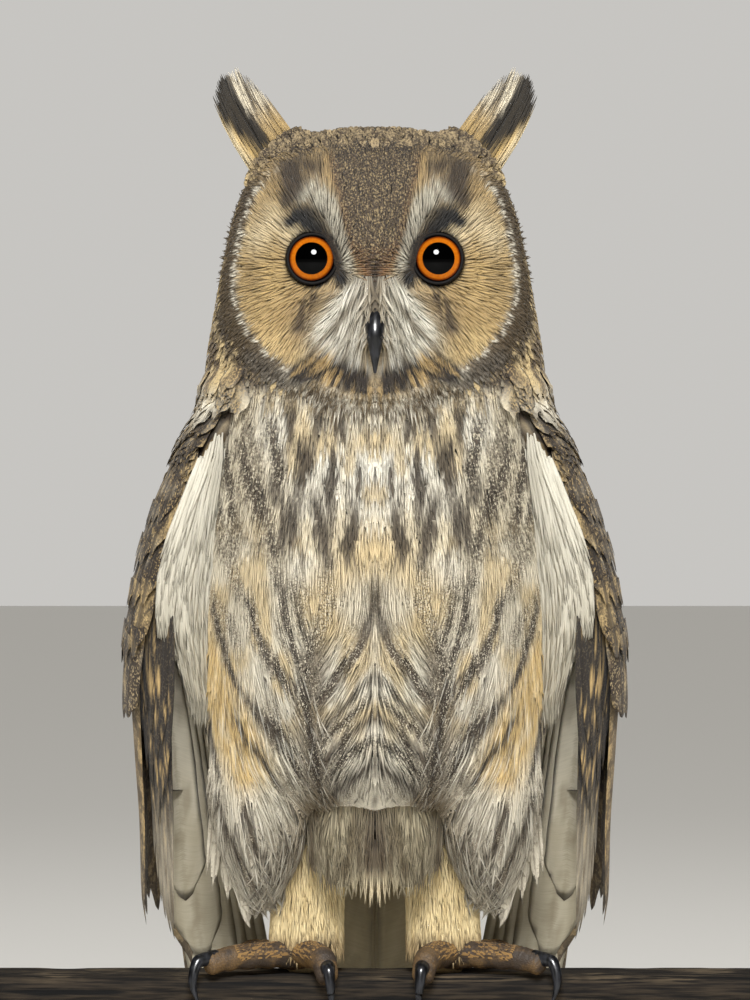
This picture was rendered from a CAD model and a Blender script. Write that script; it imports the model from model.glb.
"""A long-eared owl on a cut length of dark timber, on a plain display stand.

Lengths are in millimetres in the bird's own coordinates: x towards its left, y behind it, h above the perch's top.
place() turns them into metres in the frame of the solids.
"""
import math

import bmesh
import bpy
import numpy as np
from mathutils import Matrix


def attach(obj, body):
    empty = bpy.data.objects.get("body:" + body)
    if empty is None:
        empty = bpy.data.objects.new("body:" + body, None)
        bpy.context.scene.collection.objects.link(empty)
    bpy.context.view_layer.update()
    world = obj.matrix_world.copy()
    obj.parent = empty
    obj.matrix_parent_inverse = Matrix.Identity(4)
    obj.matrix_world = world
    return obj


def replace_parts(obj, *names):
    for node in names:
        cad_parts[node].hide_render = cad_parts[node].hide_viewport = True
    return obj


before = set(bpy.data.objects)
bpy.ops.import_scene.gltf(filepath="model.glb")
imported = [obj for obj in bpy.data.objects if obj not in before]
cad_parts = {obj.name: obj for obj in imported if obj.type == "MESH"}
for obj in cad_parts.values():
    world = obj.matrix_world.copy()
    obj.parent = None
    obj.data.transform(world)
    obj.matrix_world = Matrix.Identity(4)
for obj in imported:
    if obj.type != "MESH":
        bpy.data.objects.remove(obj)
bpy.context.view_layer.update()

# One millimetre in metres, and how far the bird's middle stands ahead of the frame's
MM = 0.001
BIRD_BACK = 16.0
PERCH = {"length": 284.0, "depth": 40.0, "height": 34.0, "round": 5.0, "top": 106.0}
EYE = {"x": 21.6, "y": -34.4, "h": 253.8, "radius": 10.6, "opening": 8.3, "turn": 0.07}
IRIS = {"inner": 5.55, "darkens": 6.8, "outer": 7.55}
FACE = {"h": 250.0, "rim": 2.8, "dish": 5.4, "ridge": 4.2, "brow": 3.2}
# The trunk's sections from the belly up: height, half width, and y of the front, widest place and back
TRUNK = [
    [51, 0, 30, 30, 30], [53, 20, 2, 26, 45], [58, 36, -24, 18, 55], [66, 50, -42, 10, 59],
    [76, 58, -53, 5, 60], [88, 61, -59, 3, 60], [112, 61.5, -62.5, 1, 57], [140, 60, -62, 0, 53],
    [168, 60, -58, 0, 49], [190, 60.5, -53, 0, 44], [204, 61, -49, 0, 41], [220, 59.6, -47, 0, 39.5],
    [236, 57, -46.5, 0, 39], [250, 54.5, -46, 0, 39], [266, 51, -45, -1, 38], [280, 46.3, -43, -2, 36],
    [289, 41, -39, -2, 33], [296, 30, -31, -2, 27], [299.6, 16, -19, -2, 17], [301, 0, -4, -2, 0],
]
# The facial disc's outline: angle up from level in degrees, and reach from its centre
DISC = [
    [-90, 43.5], [-60, 46], [-35, 50], [-10, 51.8], [12, 50.6], [28, 51.6], [40, 52.5], [55, 50.5], [72, 46],
    [90, 43.5],
]
# The folded wing's outer surface: height, half width and y of the widest place, depth of the curve in front of it
# and behind it, and x of the leading edge and of the back edge
WING = [
    [6, 75, 33, 54, 36, 71, 4], [24, 78.5, 29, 58, 41, 74, 4], [53, 80.5, 23, 58, 48, 75, 4],
    [81, 83.5, 16, 58, 54, 76, 5], [110, 86, 9, 56, 59, 76, 8], [139, 83, 3, 55, 60, 73, 13],
    [168, 76, -3, 52, 58, 66, 18], [188, 69, -8, 48, 57, 59, 21], [196, 64, -11, 43, 57, 54, 22],
    [204, 58, -13, 36, 56, 50, 24],
]
# The sheet of primaries: height, then x and y of its inner edge and of its outer edge
HAND = [[-80, 31, 50, 55, 50], [11, 47, 27.6, 69.5, 27.6], [70, 57, 13, 72.5, 12], [124, 61, -9, 78, -9]]
# The sheet of white feathers inside the wing's front edge: height, then x and y of its outer and of its inner edge
LINING = [
    [96, 71, -13, 55, -14], [110, 76, -17.5, 56, -17], [123, 78.5, -21, 56.5, -18.5], [139, 77.5, -25.5, 56, -20.5],
    [156, 72.8, -29, 54.5, -22.5], [170, 67.8, -32, 53, -25], [185, 62.4, -35.5, 51, -28], [195, 59.5, -36, 51, -30],
    [206, 56.5, -35, 50.5, -30],
]
TAIL = {"root": (43, 78), "tip": (58, -70), "half_root": 9.0, "half_tip": 26.0}
EAR = {"root": (34.0, -5, 289.5), "tip": (56.6, -11, 322.5), "half": 10.2}
FLANK = {"centre": (40.5, -8, 64), "radii": (19, 34, 41)}
SHANK = [(22.5, 2, 70), (22.5, 2, 46), (24.2, 1, 24), (24.6, 0, 12)]
SHANK_RADII = [12, 12, 13, 13.4]
# The bill's halves: points along their middle lines
BILL_UPPER = [(0, -41, 241), (0, -48.6, 236.5), (0, -54.6, 226), (0, -53.6, 213.5)]
BILL_LOWER = [(0, -38, 228), (0, -46.6, 223.8), (0, -51.6, 217.8)]
BILL_RADII = {"upper": [4.2, 3.9, 2.9, 0.5], "lower": [3.2, 2.7, 0.9]}
# Each toe: points along its middle line, its radii there, and points along its claw
TOES = {
    "inner": ([(28, -6, 6.4), (22.5, -14.5, 6.9), (18.6, -21.5, 5.6), (17, -26, 0.6)], [5.4, 4.9, 4.7, 4.1],
              [(17, -25.8, 3.6), (16.4, -30.4, 2.6), (15.6, -31.6, -4.4), (15.2, -29.8, -12.6)]),
    "middle": ([(30, -6, 6.4), (40, -11.5, 6.3), (50, -17, 6.0), (58, -21.5, 4.4)], [5.4, 4.6, 4.5, 4.1],
               [(56.6, -20.6, 6.4), (62.4, -24.2, 5.6), (64.6, -26.4, -1.6), (62.6, -27, -9.4)]),
    "outer": ([(31, -3, 6.4), (38.5, 4, 6.2), (44.5, 11, 5.9), (48, 17.5, 4.0)], [5.2, 4.4, 4.2, 3.8],
              [(47.2, 16, 5.6), (49.6, 22, 4.6), (50.6, 24.2, -2.4), (50, 23.8, -7.6)]),
    "hind": ([(28, -3, 6.4), (25, 4, 6.0), (22.5, 11, 5.8), (21, 17.5, 3.8)], [5.2, 4.3, 4.1, 3.7],
             [(21.2, 16, 5.4), (20.4, 22.4, 4.4), (20, 24.4, -2.4), (20.2, 24, -7.6)]),
}


# Colours


def srgb(red, green, blue):
    """A colour given in the usual 0 to 255 steps, as linear light."""
    share = np.array([red, green, blue]) / 255.0
    return np.where(share <= 0.04045, share / 12.92, ((share + 0.055) / 1.055) ** 2.4)


WHITE = srgb(226, 221, 205)
CREAM = srgb(214, 198, 162)
PALE_BUFF = srgb(206, 182, 132)
BUFF = srgb(176, 148, 98)
GOLD = srgb(198, 168, 108)
RUST = srgb(142, 98, 54)
GREY = srgb(154, 146, 128)
GREY_BROWN = srgb(108, 96, 76)
BROWN = srgb(76, 61, 42)
DARK = srgb(42, 33, 23)
BLACK = srgb(14, 11, 8)


# Small mathematics


def joined(*parts):
    """Coordinates joined into points."""
    return np.stack(parts, -1)


def limited(value):
    """value kept between 0 and 1."""
    return np.clip(value, 0, 1)


def smooth(value, low, high):
    """0 below low, 1 above high, and an even S between."""
    share = limited((value - low) / (high - low))
    return share * share * (3 - 2 * share)


def bell(value, width):
    """1 at nothing, and falling off evenly to either side over width."""
    return np.exp(-((value / width) ** 2))


def mix(first, second, share):
    """first turned into second by share, which may be one number or one for each point."""
    share = np.asarray(share)[..., None]
    return first * (1 - share) + second * share


def mix_values(first, second, share):
    """One number turned into another by share."""
    return first * (1 - share) + second * share


def mirror(points):
    """The same points on the bird's other side."""
    return points * np.array([-1.0, 1.0, 1.0])


def rows_as_curve(rows):
    """The rows [at, values...] as a smooth function of at.

    Each slope is the harmonic mean of its two neighbours, so the curve stays between neighbouring rows.
    """
    table = np.array(rows, float)
    at, values = table[:, 0], table[:, 1:]
    rise = np.diff(values, axis=0) / np.diff(at)[:, None]
    product = rise[:-1] * rise[1:]
    inner = np.where(product > 0, 2 * product / np.where(product > 0, rise[:-1] + rise[1:], 1), 0)
    slopes = np.vstack([rise[:1], inner, rise[-1:]])

    def curve(where):
        where = np.clip(where, at[0], at[-1])
        i = np.clip(np.searchsorted(at, where, side="right") - 1, 0, len(at) - 2)
        step = (at[i + 1] - at[i])[..., None]
        t = (where[..., None] - at[i][..., None]) / step
        far = 3 * t**2 - 2 * t**3
        leave = step * (t**3 - 2 * t**2 + t) * slopes[i]
        arrive = step * (t**3 - t**2) * slopes[i + 1]
        found = (1 - far) * values[i] + far * values[i + 1] + leave + arrive
        return np.moveaxis(found, -1, 0)

    return curve


def noise(points, size, seed=0):
    """Soft noise from -1 to 1: smoothed random values on a lattice whose cells are size across."""
    p = np.asarray(points) / size
    cell = np.floor(p).astype(np.int64)
    t = p - cell
    t = t * t * (3 - 2 * t)
    total = np.zeros(p.shape[:-1])
    for corner in np.ndindex(*(2,) * p.shape[-1]):
        offset = np.array(corner)
        primes = np.array([73856093, 19349663, 83492791])[: p.shape[-1]]
        key = ((cell + offset) * primes).sum(-1) + seed * 2654435
        key = (key ^ (key >> 13)) * 1274126177 & 0x7FFFFFFF
        value = ((key ^ (key >> 16)) & 0xFFFF) / 32767.5 - 1
        total += value * np.prod(np.where(offset, t, 1 - t), axis=-1)
    return total


def stroke(x, h, points, width):
    """1 along a line through points, seen from the front, and falling off as a bell over width.

    The distance is the least of the distances to its straight pieces. width may change along them.
    """
    widths = np.broadcast_to(width, len(points))
    best = np.zeros(np.shape(x))
    for (x0, h0), (x1, h1), w0, w1 in zip(points, points[1:], widths, widths[1:]):
        run = (x1 - x0) ** 2 + (h1 - h0) ** 2
        t = limited(((x - x0) * (x1 - x0) + (h - h0) * (h1 - h0)) / run)
        away = np.hypot(x - x0 - t * (x1 - x0), h - h0 - t * (h1 - h0))
        best = np.maximum(best, bell(away, w0 + (w1 - w0) * t))
    return best


# The bird's surfaces, each a function of two parameters

trunk_at = rows_as_curve(TRUNK)
disc_at = rows_as_curve(DISC)
wing_at = rows_as_curve(WING)
lining_at = rows_as_curve(LINING)


def section_power(h):
    """Under 1, a section is squarer than an ellipse: the head more so than the body."""
    return 0.92 - 0.12 * smooth(h, 200, 225)


def trunk(angle, h):
    """The trunk at an angle round from the front: a squared ellipse with the section's half sizes."""
    wide, front, middle, back = trunk_at(h)
    s, c = np.sin(angle), np.cos(angle)
    deep = np.maximum(np.where(c > 0, middle - front, back - middle), 1e-3)
    power = 2 / section_power(h)
    reach = (np.abs(s / np.maximum(wide, 1e-3)) ** power + np.abs(c / deep) ** power) ** (-1 / power)
    return joined(reach * s, middle - reach * c, h + 0 * s)


def crown(x, y):
    """The top of the head over a place seen from above, found by halving steps towards the section through it."""
    low, high = np.full(np.shape(x), 262.0), np.full(np.shape(x), 301.0)
    for _ in range(22):
        h = (low + high) / 2
        wide, front, middle, back = trunk_at(h)
        deep = np.where(y < middle, middle - front, back - middle)
        power = 2 / section_power(h)
        across = np.abs(x / np.maximum(wide, 1e-3)) ** power
        inside = across + np.abs((y - middle) / np.maximum(deep, 1e-3)) ** power < 1
        low, high = np.where(inside, h, low), np.where(inside, high, h)
    return joined(x + 0 * y, y + 0 * x, low)


def disc_reach(turn):
    """How far the disc's edge lies from its centre, at an angle up from level."""
    return disc_at(np.degrees(np.arcsin(np.sin(turn))))[0]


def disc_share(x, h):
    """The part of the way out from the face's centre to the disc's edge."""
    return np.hypot(x, h - FACE["h"]) / disc_reach(np.arctan2(h - FACE["h"], np.abs(x)))


def face(x, h):
    """The facial disc over a place seen from the front.

    It is the head's front, with a raised rim, a hollow round each eye, and ridges for the bill's root and brows.
    """
    side, share = np.abs(x), np.minimum(disc_share(x, h), 1.1)
    wide, front, middle, _ = trunk_at(h)
    power = section_power(h)
    across = np.minimum(1, side / wide) ** (1 / power)
    plain = middle + (front - middle) * np.sqrt(1 - across**2) ** power
    high = smooth(h, 276, 290) * (1 - smooth(side, 18, 34))
    rim = FACE["rim"] * smooth(share, 0.84, 1) * (1 - high)
    dish = -FACE["dish"] * bell(np.hypot((side - 25.6) / 22, (h - 249.8) / 27), 0.9)
    ridge = FACE["ridge"] * bell(x, 6.5 + 0.35 * np.maximum(0, h - EYE["h"]))
    ridge = ridge * smooth(h, 205, 232) * (1 - smooth(h, 268, 290))
    brow_at = 5.5 + 0.44 * np.maximum(0, h - 241) + 0.004 * np.maximum(0, h - 262) ** 2
    brow = FACE["brow"] * bell(side - brow_at, 4.6) * smooth(h, 240, 256) * (1 - smooth(h, 278, 290))
    y = plain - (rim + dish + ridge + brow) + 2.5 * smooth(share, 1.02, 1.08)
    return joined(x + 0 * h, y, h + 0 * x)


def wing(s, h):
    """The left wing's outside: s runs round a half ellipse from its leading edge to its back edge by angle."""
    wide, middle, front, back, lead, end = wing_at(h)
    start, stop = -np.arccos(lead / wide), np.arccos(end / wide)
    turn = start + (stop - start) * limited(s)
    deep = np.where(turn < 0, front, back)
    beyond = s - limited(s)
    run = (stop - start) * beyond
    x = wide * np.cos(turn) - wide * np.sin(turn) * run
    y = middle + deep * np.sin(turn) + deep * np.cos(turn) * run
    return joined(x, y, h + 0 * s)


def hand(s, h):
    """The left wing's sheet of primaries, straight across: s runs from its inner to its outer edge."""
    table = np.array(HAND, float)
    x0, y0, x1, y1 = (np.interp(h, table[:, 0], table[:, k]) for k in range(1, 5))
    return joined(x0 + (x1 - x0) * s, y0 + (y1 - y0) * s, h + 0 * s)


def lining(q, h):
    """The sheet of white feathers inside the left wing's front edge: q runs from the edge in towards the body."""
    x0, y0, x1, y1 = lining_at(h + 0 * q)
    bulge = 2.5 * np.sin(np.pi * limited(q))
    return joined(x0 + (x1 - x0) * q, y0 + (y1 - y0) * q - bulge, h + 0 * q)


def shoulder(angle, h):
    """The trunk and the wing as one surface: at each angle round, the greater of the two reaches."""
    body = trunk(angle, h)
    wide, middle, front, back, _, _ = wing_at(h)
    s, c = np.sin(angle), np.cos(angle)
    deep = np.where(c > -middle / wide, front, back)
    a, b = (s / wide) ** 2 + (c / deep) ** 2, c * middle / deep**2
    folded = (-b + np.sqrt(np.maximum(b**2 - a * ((middle / deep) ** 2 - 1), 0))) / a
    plain = np.hypot(body[..., 0], body[..., 1])
    ahead = folded - plain
    reach = plain + 0.5 * (ahead + np.sqrt(ahead**2 + 16)) * (1 - smooth(h, 208, 216))
    return joined(reach * s, -reach * c, h + 0 * s)


def lobe_taper(fall):
    """How wide the flank's lobe still is at a share fall of the way down from its middle to its point."""
    return np.maximum(0, 1 - np.maximum(0, fall) ** 1.6) ** 0.85


def flank(angle, lean):
    """The left flank's lobe of long feathers: an upright ball with three radii that draws in to a point below.

    lean runs from 0 at its foot up to pi at its top.
    """
    cx, cy, ch = FLANK["centre"]
    rx, ry, rh = FLANK["radii"]
    ring = np.where(np.cos(lean) > 0, lobe_taper(np.cos(lean)), np.sin(lean))
    return joined(cx + rx * ring * np.sin(angle), cy - ry * ring * np.cos(angle), ch - rh * np.cos(lean))


def apron(x, h):
    """The front of the trunk and of the flank's lobe as one rounded surface, over a place seen from ahead."""
    side = np.abs(x)
    wide, front, middle, _ = trunk_at(h)
    power = 2 / section_power(h)
    body = middle - (middle - front) * np.maximum(0, 1 - (side / np.maximum(wide, 1)) ** power) ** (1 / power)
    cx, cy, ch = FLANK["centre"]
    rx, ry, rh = FLANK["radii"]
    fall = (ch - h) / rh
    ring = np.where(fall > 0, lobe_taper(fall), np.sqrt(np.maximum(0, 1 - fall**2)))
    lobe = cy - ry * np.sqrt(np.maximum(0, ring**2 - ((side - cx) / rx) ** 2))
    y = -4.0 * np.logaddexp(-body / 4.0, -lobe / 4.0)
    return joined(x + 0 * h, y, h + 0 * x)


def hem(x, h):
    """The front of the loose feathers that hang between the legs: two soft swellings that meet in the middle."""
    side = np.abs(x)
    y = -30.5 - 3.5 * bell(side - 11, 7) + 0.012 * side**2 + 0.16 * (60 - h)
    return joined(x + 0 * h, y, h + 0 * x)


def fluff(angle, lean):
    """The left half of the soft feathers below the belly: a small ball beside the middle line."""
    ring = np.sin(lean)
    return joined(11 + 12 * ring * np.sin(angle), -12 - 21 * ring * np.cos(angle), 57 - 25 * np.cos(lean))


def tail_fan(s, h):
    """The tail's sheet: a flat fan that leans back as it goes down."""
    t = (TAIL["root"][1] - h) / (TAIL["root"][1] - TAIL["tip"][1])
    half = TAIL["half_root"] + (TAIL["half_tip"] - TAIL["half_root"]) * t
    y = TAIL["root"][0] + (TAIL["tip"][0] - TAIL["root"][0]) * t
    return joined(half * s, y + 0 * s, h + 0 * s)


# The left ear tuft's root, its run from root to tip, and the direction outwards across it
ear_root = np.array(EAR["root"], float)
ear_run = np.array(EAR["tip"], float) - ear_root
ear_out = np.array([ear_run[2], 0, -ear_run[0]]) / math.hypot(ear_run[0], ear_run[2])


def ear_bow(t):
    """How far the tuft's middle line bows outwards at a share t of its length."""
    return 1.6 * np.sin(np.pi * limited(t))


def ear_sheet(s, t):
    """The left ear tuft's sheet: s is the distance out from its middle line, t runs from root to tip."""
    hollow = np.array([0, -1.0, 0]) * (0.03 * s**2)[..., None]
    return ear_root + ear_run * t[..., None] + ear_out * (s + ear_bow(t))[..., None] + hollow


def ear_place(points):
    """Where points lie on the left ear tuft's sheet: distance outwards and share of its length."""
    flat = ear_run * [1, 0, 1]
    t = ((points - ear_root) @ flat) / (flat @ flat)
    s = (points - ear_root) @ ear_out
    return s - ear_bow(t), t


def shank(angle, h):
    """The left shank: rounds about a line that leans a little."""
    table = np.array(SHANK, float)[::-1]
    radii = np.array(SHANK_RADII, float)[::-1]
    x, y = np.interp(h, table[:, 2], table[:, 0]), np.interp(h, table[:, 2], table[:, 1])
    reach = np.interp(h, table[:, 2], radii)
    return joined(x + reach * np.sin(angle), y - reach * np.cos(angle), h + 0 * angle)


def limb_surface(points, radii):
    """The side of a round limb: angle round its line from the front, and t down it."""
    points, radii = np.array(points, float), np.array(radii, float)
    at = np.linspace(0, 1, len(points))
    curve = rows_as_curve(np.column_stack([at, points, radii]))

    def surface(angle, t):
        x, y, h, reach = curve(t)
        return joined(x + reach * np.sin(angle), y - reach * np.cos(angle), h + 0 * angle)

    return surface


def toe_surface(points, radii):
    """The side of a toe that lies level: angle round its line from the top, and t along it."""
    points, radii = np.array(points, float), np.array(radii, float)
    curve = rows_as_curve(np.column_stack([np.linspace(0, 1, len(points)), points, radii]))
    run = points[-1] - points[0]
    side = np.array([-run[1], run[0], 0]) / math.hypot(run[0], run[1])

    def surface(angle, t):
        x, y, h, reach = curve(t + 0 * angle)
        round_it = reach[..., None] * (np.sin(angle)[..., None] * side + np.cos(angle)[..., None] * [0, 0, 1])
        return joined(x, y, h) + round_it

    return surface


def slopes_of(surface, u, v, step):
    """A surface's two directions and their normal at a place, from points a small step to either side."""
    du, dv = step
    along_u = (surface(u + du, v) - surface(u - du, v)) / (2 * du)
    along_v = (surface(u, v + dv) - surface(u, v - dv)) / (2 * dv)
    normal = np.cross(along_u, along_v)
    normal /= np.maximum(np.linalg.norm(normal, axis=-1, keepdims=True), 1e-9)
    return along_u, along_v, normal


# For each surface: its function, the small steps for its slopes, and 1 where u cross v points outwards
SURFACES = {
    "trunk": (trunk, (0.02, 0.3), 1),
    "crown": (crown, (0.3, 0.3), 1),
    "face": (face, (0.3, 0.3), 1),
    "wing": (wing, (0.004, 0.3), 1),
    "shoulder": (shoulder, (0.02, 0.3), 1),
    "lining": (lining, (0.02, 0.3), -1),
    "hand": (hand, (0.02, 0.3), -1),
    "palm": (hand, (0.02, 0.3), 1),
    "tail": (tail_fan, (0.02, 0.3), -1),
    "tail_under": (tail_fan, (0.02, 0.3), 1),
    "ear": (ear_sheet, (0.3, 0.01), 1),
    "flank": (flank, (0.02, 0.02), 1),
    "fluff": (fluff, (0.02, 0.02), 1),
    "apron": (apron, (0.3, 0.3), 1),
    "hem": (hem, (0.3, 0.3), 1),
    "shank": (shank, (0.02, 0.3), 1),
}


def lifted(name, u, v, lift):
    """A point of a surface moved outwards by lift along its normal."""
    surface, step, way = SURFACES[name]
    _, _, normal = slopes_of(surface, u, v, step)
    return surface(u, v) + way * normal * lift[..., None]


# Meshes and the closed walls that they are made from


def place(points):
    """Millimetres in the bird's coordinates as metres in the solids' frame."""
    return (np.asarray(points, float) + np.array([0, -BIRD_BACK, PERCH["top"]])) * MM


def mesh_of(name, points, corners, starts, smooth_faces=None):
    """A mesh object from points, the points at every face's corners, and where each face's corners start."""
    mesh = bpy.data.meshes.new(name)
    mesh.vertices.add(len(points))
    mesh.vertices.foreach_set("co", place(points).astype(np.float32).ravel())
    mesh.loops.add(len(corners))
    mesh.loops.foreach_set("vertex_index", corners.astype(np.int32))
    mesh.polygons.add(len(starts))
    mesh.polygons.foreach_set("loop_start", starts.astype(np.int32))
    shown = np.ones(len(starts)) if smooth_faces is None else smooth_faces
    mesh.polygons.foreach_set("use_smooth", shown.astype(bool))
    mesh.update(calc_edges=True)
    made = bpy.data.objects.new(name, mesh)
    bpy.context.scene.collection.objects.link(made)
    return made


def finish_piece(made, material, slot_name, *nodes):
    """Gives a piece its material, body and slot, and names the solids that it replaces."""
    made.data.materials.append(material)
    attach(made, "root")
    if nodes:
        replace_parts(made, *nodes)


def mended(made):
    """Merges doubled points and turns every face outwards."""
    shell = bmesh.new()
    shell.from_mesh(made.data)
    bmesh.ops.remove_doubles(shell, verts=shell.verts, dist=1e-6)
    bmesh.ops.recalc_face_normals(shell, faces=shell.faces)
    shell.to_mesh(made.data)
    shell.free()


def points_of(mesh):
    """A mesh's points, in metres."""
    points = np.empty(len(mesh.vertices) * 3, np.float32)
    mesh.vertices.foreach_get("co", points)
    return points.reshape(-1, 3)


def paint_points(mesh, colours):
    """Gives a mesh the attributes that the coat's materials read, dimmer than the coat that covers it."""
    points = points_of(mesh) * 1000 - np.array([0, -BIRD_BACK, PERCH["top"]])
    colour, marks = colours(points)
    marks = np.broadcast_to(marks, points.shape)
    ones = np.full((len(points), 1), 0.5)
    for label, values in (("ground", colour * 0.8), ("marks", marks)):
        layer = mesh.attributes.new(label, "FLOAT_COLOR", "POINT")
        layer.data.foreach_set("color", np.concatenate([values, ones], -1).astype(np.float32).ravel())


def lift_off(piece):
    """Flattens the soles where they press on the timber: no point of a piece is lower than its top face."""
    points = points_of(piece.data)
    over = np.abs(points[:, 1] + BIRD_BACK * MM) < (PERCH["depth"] / 2 - 1) * MM
    points[over, 2] = np.maximum(points[over, 2], (PERCH["top"] + 0.2) * MM)
    piece.data.vertices.foreach_set("co", points.ravel())
    piece.data.update()


def closed(name, walls, material, slot_name, *nodes):
    """One mesh from closed walls: each a grid of rings whose first and last ring shrink to a point."""
    places, corners, starts, base, loops = [], [], [], 0, 0
    for wall in walls:
        rings, sides, _ = wall.shape
        grid = base + np.arange(rings * sides).reshape(rings, sides)
        around = np.roll(grid, -1, axis=1)
        quads = joined(grid[:-1], around[:-1], around[1:], grid[1:]).reshape(-1)
        ends = np.concatenate([grid[0][::-1], grid[-1]])
        corners.append(np.concatenate([quads, ends]))
        count = (rings - 1) * sides
        starts.append(loops + np.concatenate([np.arange(count) * 4, [count * 4, count * 4 + sides]]))
        loops += count * 4 + 2 * sides
        places.append(wall.reshape(-1, 3))
        base += rings * sides
    made = mesh_of(name, np.concatenate(places), np.concatenate(corners), np.concatenate(starts))
    mended(made)
    finish_piece(made, material, slot_name, *nodes)
    return made


def closed_loop(name, walls, material, slot_name):
    """One mesh from walls that close on themselves both ways, such as rings."""
    places, corners, base = [], [], 0
    for wall in walls:
        rings, sides, _ = wall.shape
        grid = base + np.arange(rings * sides).reshape(rings, sides)
        around, onward = np.roll(grid, -1, axis=1), np.roll(grid, -1, axis=0)
        corners.append(joined(grid, around, np.roll(onward, -1, axis=1), onward).reshape(-1))
        places.append(wall.reshape(-1, 3))
        base += rings * sides
    corners = np.concatenate(corners)
    made = mesh_of(name, np.concatenate(places), corners, np.arange(len(corners) // 4) * 4)
    mended(made)
    finish_piece(made, material, slot_name)
    return made


def path_of(points, radii, rings):
    """A smooth line through points with a radius along it: each as a curve over the length run so far."""
    points, radii = np.array(points, float), np.array(radii, float)
    run = np.concatenate([[0], np.cumsum(np.linalg.norm(np.diff(points, axis=0), axis=1))])
    curve = rows_as_curve(np.column_stack([run, points, radii]))
    found = curve(np.linspace(0, run[-1], rings))
    return found[:3].T, found[3], run[-1]


def tube(points, radii, sides=24, rings=40, round_end=0.75, relief=None):
    """A closed tube along a smooth line, with rounded ends, as a grid of rings of points.

    At each ring, two directions square to the line carry the circle. Near the ends the radius falls as a quarter
    circle. relief(t, turn, run) gives a share to add to the radius.
    """
    centre, reach, length = path_of(points, radii, rings)
    forth = np.gradient(centre, axis=0)
    forth /= np.linalg.norm(forth, axis=1, keepdims=True)
    up = np.array([0.05, -0.1, 1.0]) if abs(forth[:, 2]).mean() < 0.8 else np.array([0.1, -1.0, 0.0])
    side = np.cross(forth, up)
    side /= np.linalg.norm(side, axis=1, keepdims=True)
    lift = np.cross(side, forth)
    turn = np.linspace(0, 2 * np.pi, sides, endpoint=False)
    grid = reach[:, None] * np.ones(sides)
    if relief is not None:
        t = np.linspace(0, 1, rings)[:, None]
        grid = grid * (1 + relief(t, turn[None, :], t * length))
    steps = np.array([0.0, 0.35, 0.7, 0.92])
    caps = []
    for end, way in ((0, -1), (-1, 1)):
        shares, shifts = np.sqrt(1 - (1 - steps) ** 2), (1 - steps) * round_end * reach[end] * way
        caps.append([(share * grid[end], centre[end] + shift * forth[end]) for share, shift in zip(shares, shifts)])
    rows = caps[0] + [(grid[i], centre[i]) for i in range(rings)] + caps[1][::-1]
    frames = [0] * 4 + list(range(rings)) + [rings - 1] * 4
    radius = np.array([row[0] for row in rows])
    middle = np.array([row[1] for row in rows])
    side, lift = side[frames], lift[frames]
    return (middle[:, None] + radius[..., None] * np.cos(turn)[None, :, None] * side[:, None]
            + radius[..., None] * np.sin(turn)[None, :, None] * lift[:, None])


def ball_wall(centre, radii, sides=48, rings=32):
    """A ball with three radii, as a grid of rings of points."""
    turn = np.linspace(0, 2 * np.pi, sides, endpoint=False)
    lean = np.linspace(0, np.pi, rings)
    unit = joined(np.outer(np.sin(lean), np.sin(turn)), -np.outer(np.sin(lean), np.cos(turn)),
                     -np.outer(np.cos(lean), np.ones(sides)))
    return np.array(centre) + unit * np.array(radii)


def turned_wall(section, sides=64):
    """A profile of (radius, forward) points spun round the left eye's line of sight."""
    section = np.array(section, float)
    turn = np.linspace(0, 2 * np.pi, sides, endpoint=False)
    out, forth = section[:, :1], section[:, 1:]
    flat = joined(out * np.cos(turn), -forth * np.ones(sides), out * np.sin(turn))
    c, s = math.cos(EYE["turn"]), math.sin(EYE["turn"])
    spun = flat @ np.array([[c, s, 0], [-s, c, 0], [0, 0, 1]])
    return spun + np.array([EYE["x"], EYE["y"], EYE["h"]])


# Feathers, laid on the surfaces in their own coordinates

# How far roots are shaken off their rows, as a share of the gap between them
ROOT_SHAKE = 0.35


def scatter(name, u_span, v_span, gap, seed):
    """Roots about gap apart, in rows along u, every other one moved half a gap, and then all shaken."""
    surface = SURFACES[name][0]
    random = np.random.default_rng(seed)
    u_fine, v_fine = np.linspace(*u_span, 121), np.linspace(*v_span, 121)
    lines = surface(np.full(121, (u_span[0] + u_span[1]) / 2), v_fine)
    run = np.concatenate([[0], np.cumsum(np.linalg.norm(np.diff(lines, axis=0), axis=1))])
    rows = np.interp(np.arange(gap / 2, run[-1], gap * 0.87), run, v_fine)
    found_u, found_v = [], []
    for number, row in enumerate(rows):
        line = surface(u_fine, np.full(121, row))
        run = np.concatenate([[0], np.cumsum(np.linalg.norm(np.diff(line, axis=0), axis=1))])
        places = np.arange(gap * (0.25 + 0.5 * (number % 2)), run[-1], gap)
        places = places + random.uniform(-ROOT_SHAKE, ROOT_SHAKE, len(places)) * gap
        found_u.append(np.interp(places, run, u_fine))
        slope = (v_span[1] - v_span[0]) / max(np.linalg.norm(np.diff(lines, axis=0), axis=1).sum(), 1e-6)
        found_v.append(row + random.uniform(-ROOT_SHAKE, ROOT_SHAKE, len(places)) * gap * slope)
    return np.concatenate(found_u), np.concatenate(found_v)


def spread_out(u, v, u_span, v_span, mirrored_half=True):
    """Roots as places from 0 to 1 on an unwrap, in the half from 0.5 up where they are mirrored."""
    across = (u - u_span[0]) / (u_span[1] - u_span[0])
    up = (v - v_span[0]) / (v_span[1] - v_span[0])
    return joined(0.5 + 0.49 * across if mirrored_half else 0.01 + 0.98 * across, 0.01 + 0.98 * up)


def rooted(name, u_span, v_span, gap, seed, keep=None):
    """Roots over a surface, only those that keep(u, v) holds for: u, v, and their places on an unwrap."""
    u, v = scatter(name, u_span, v_span, gap, seed)
    if keep is not None:
        kept = keep(u, v)
        u, v = u[kept], v[kept]
    return u, v, spread_out(u, v, u_span, v_span)


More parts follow.
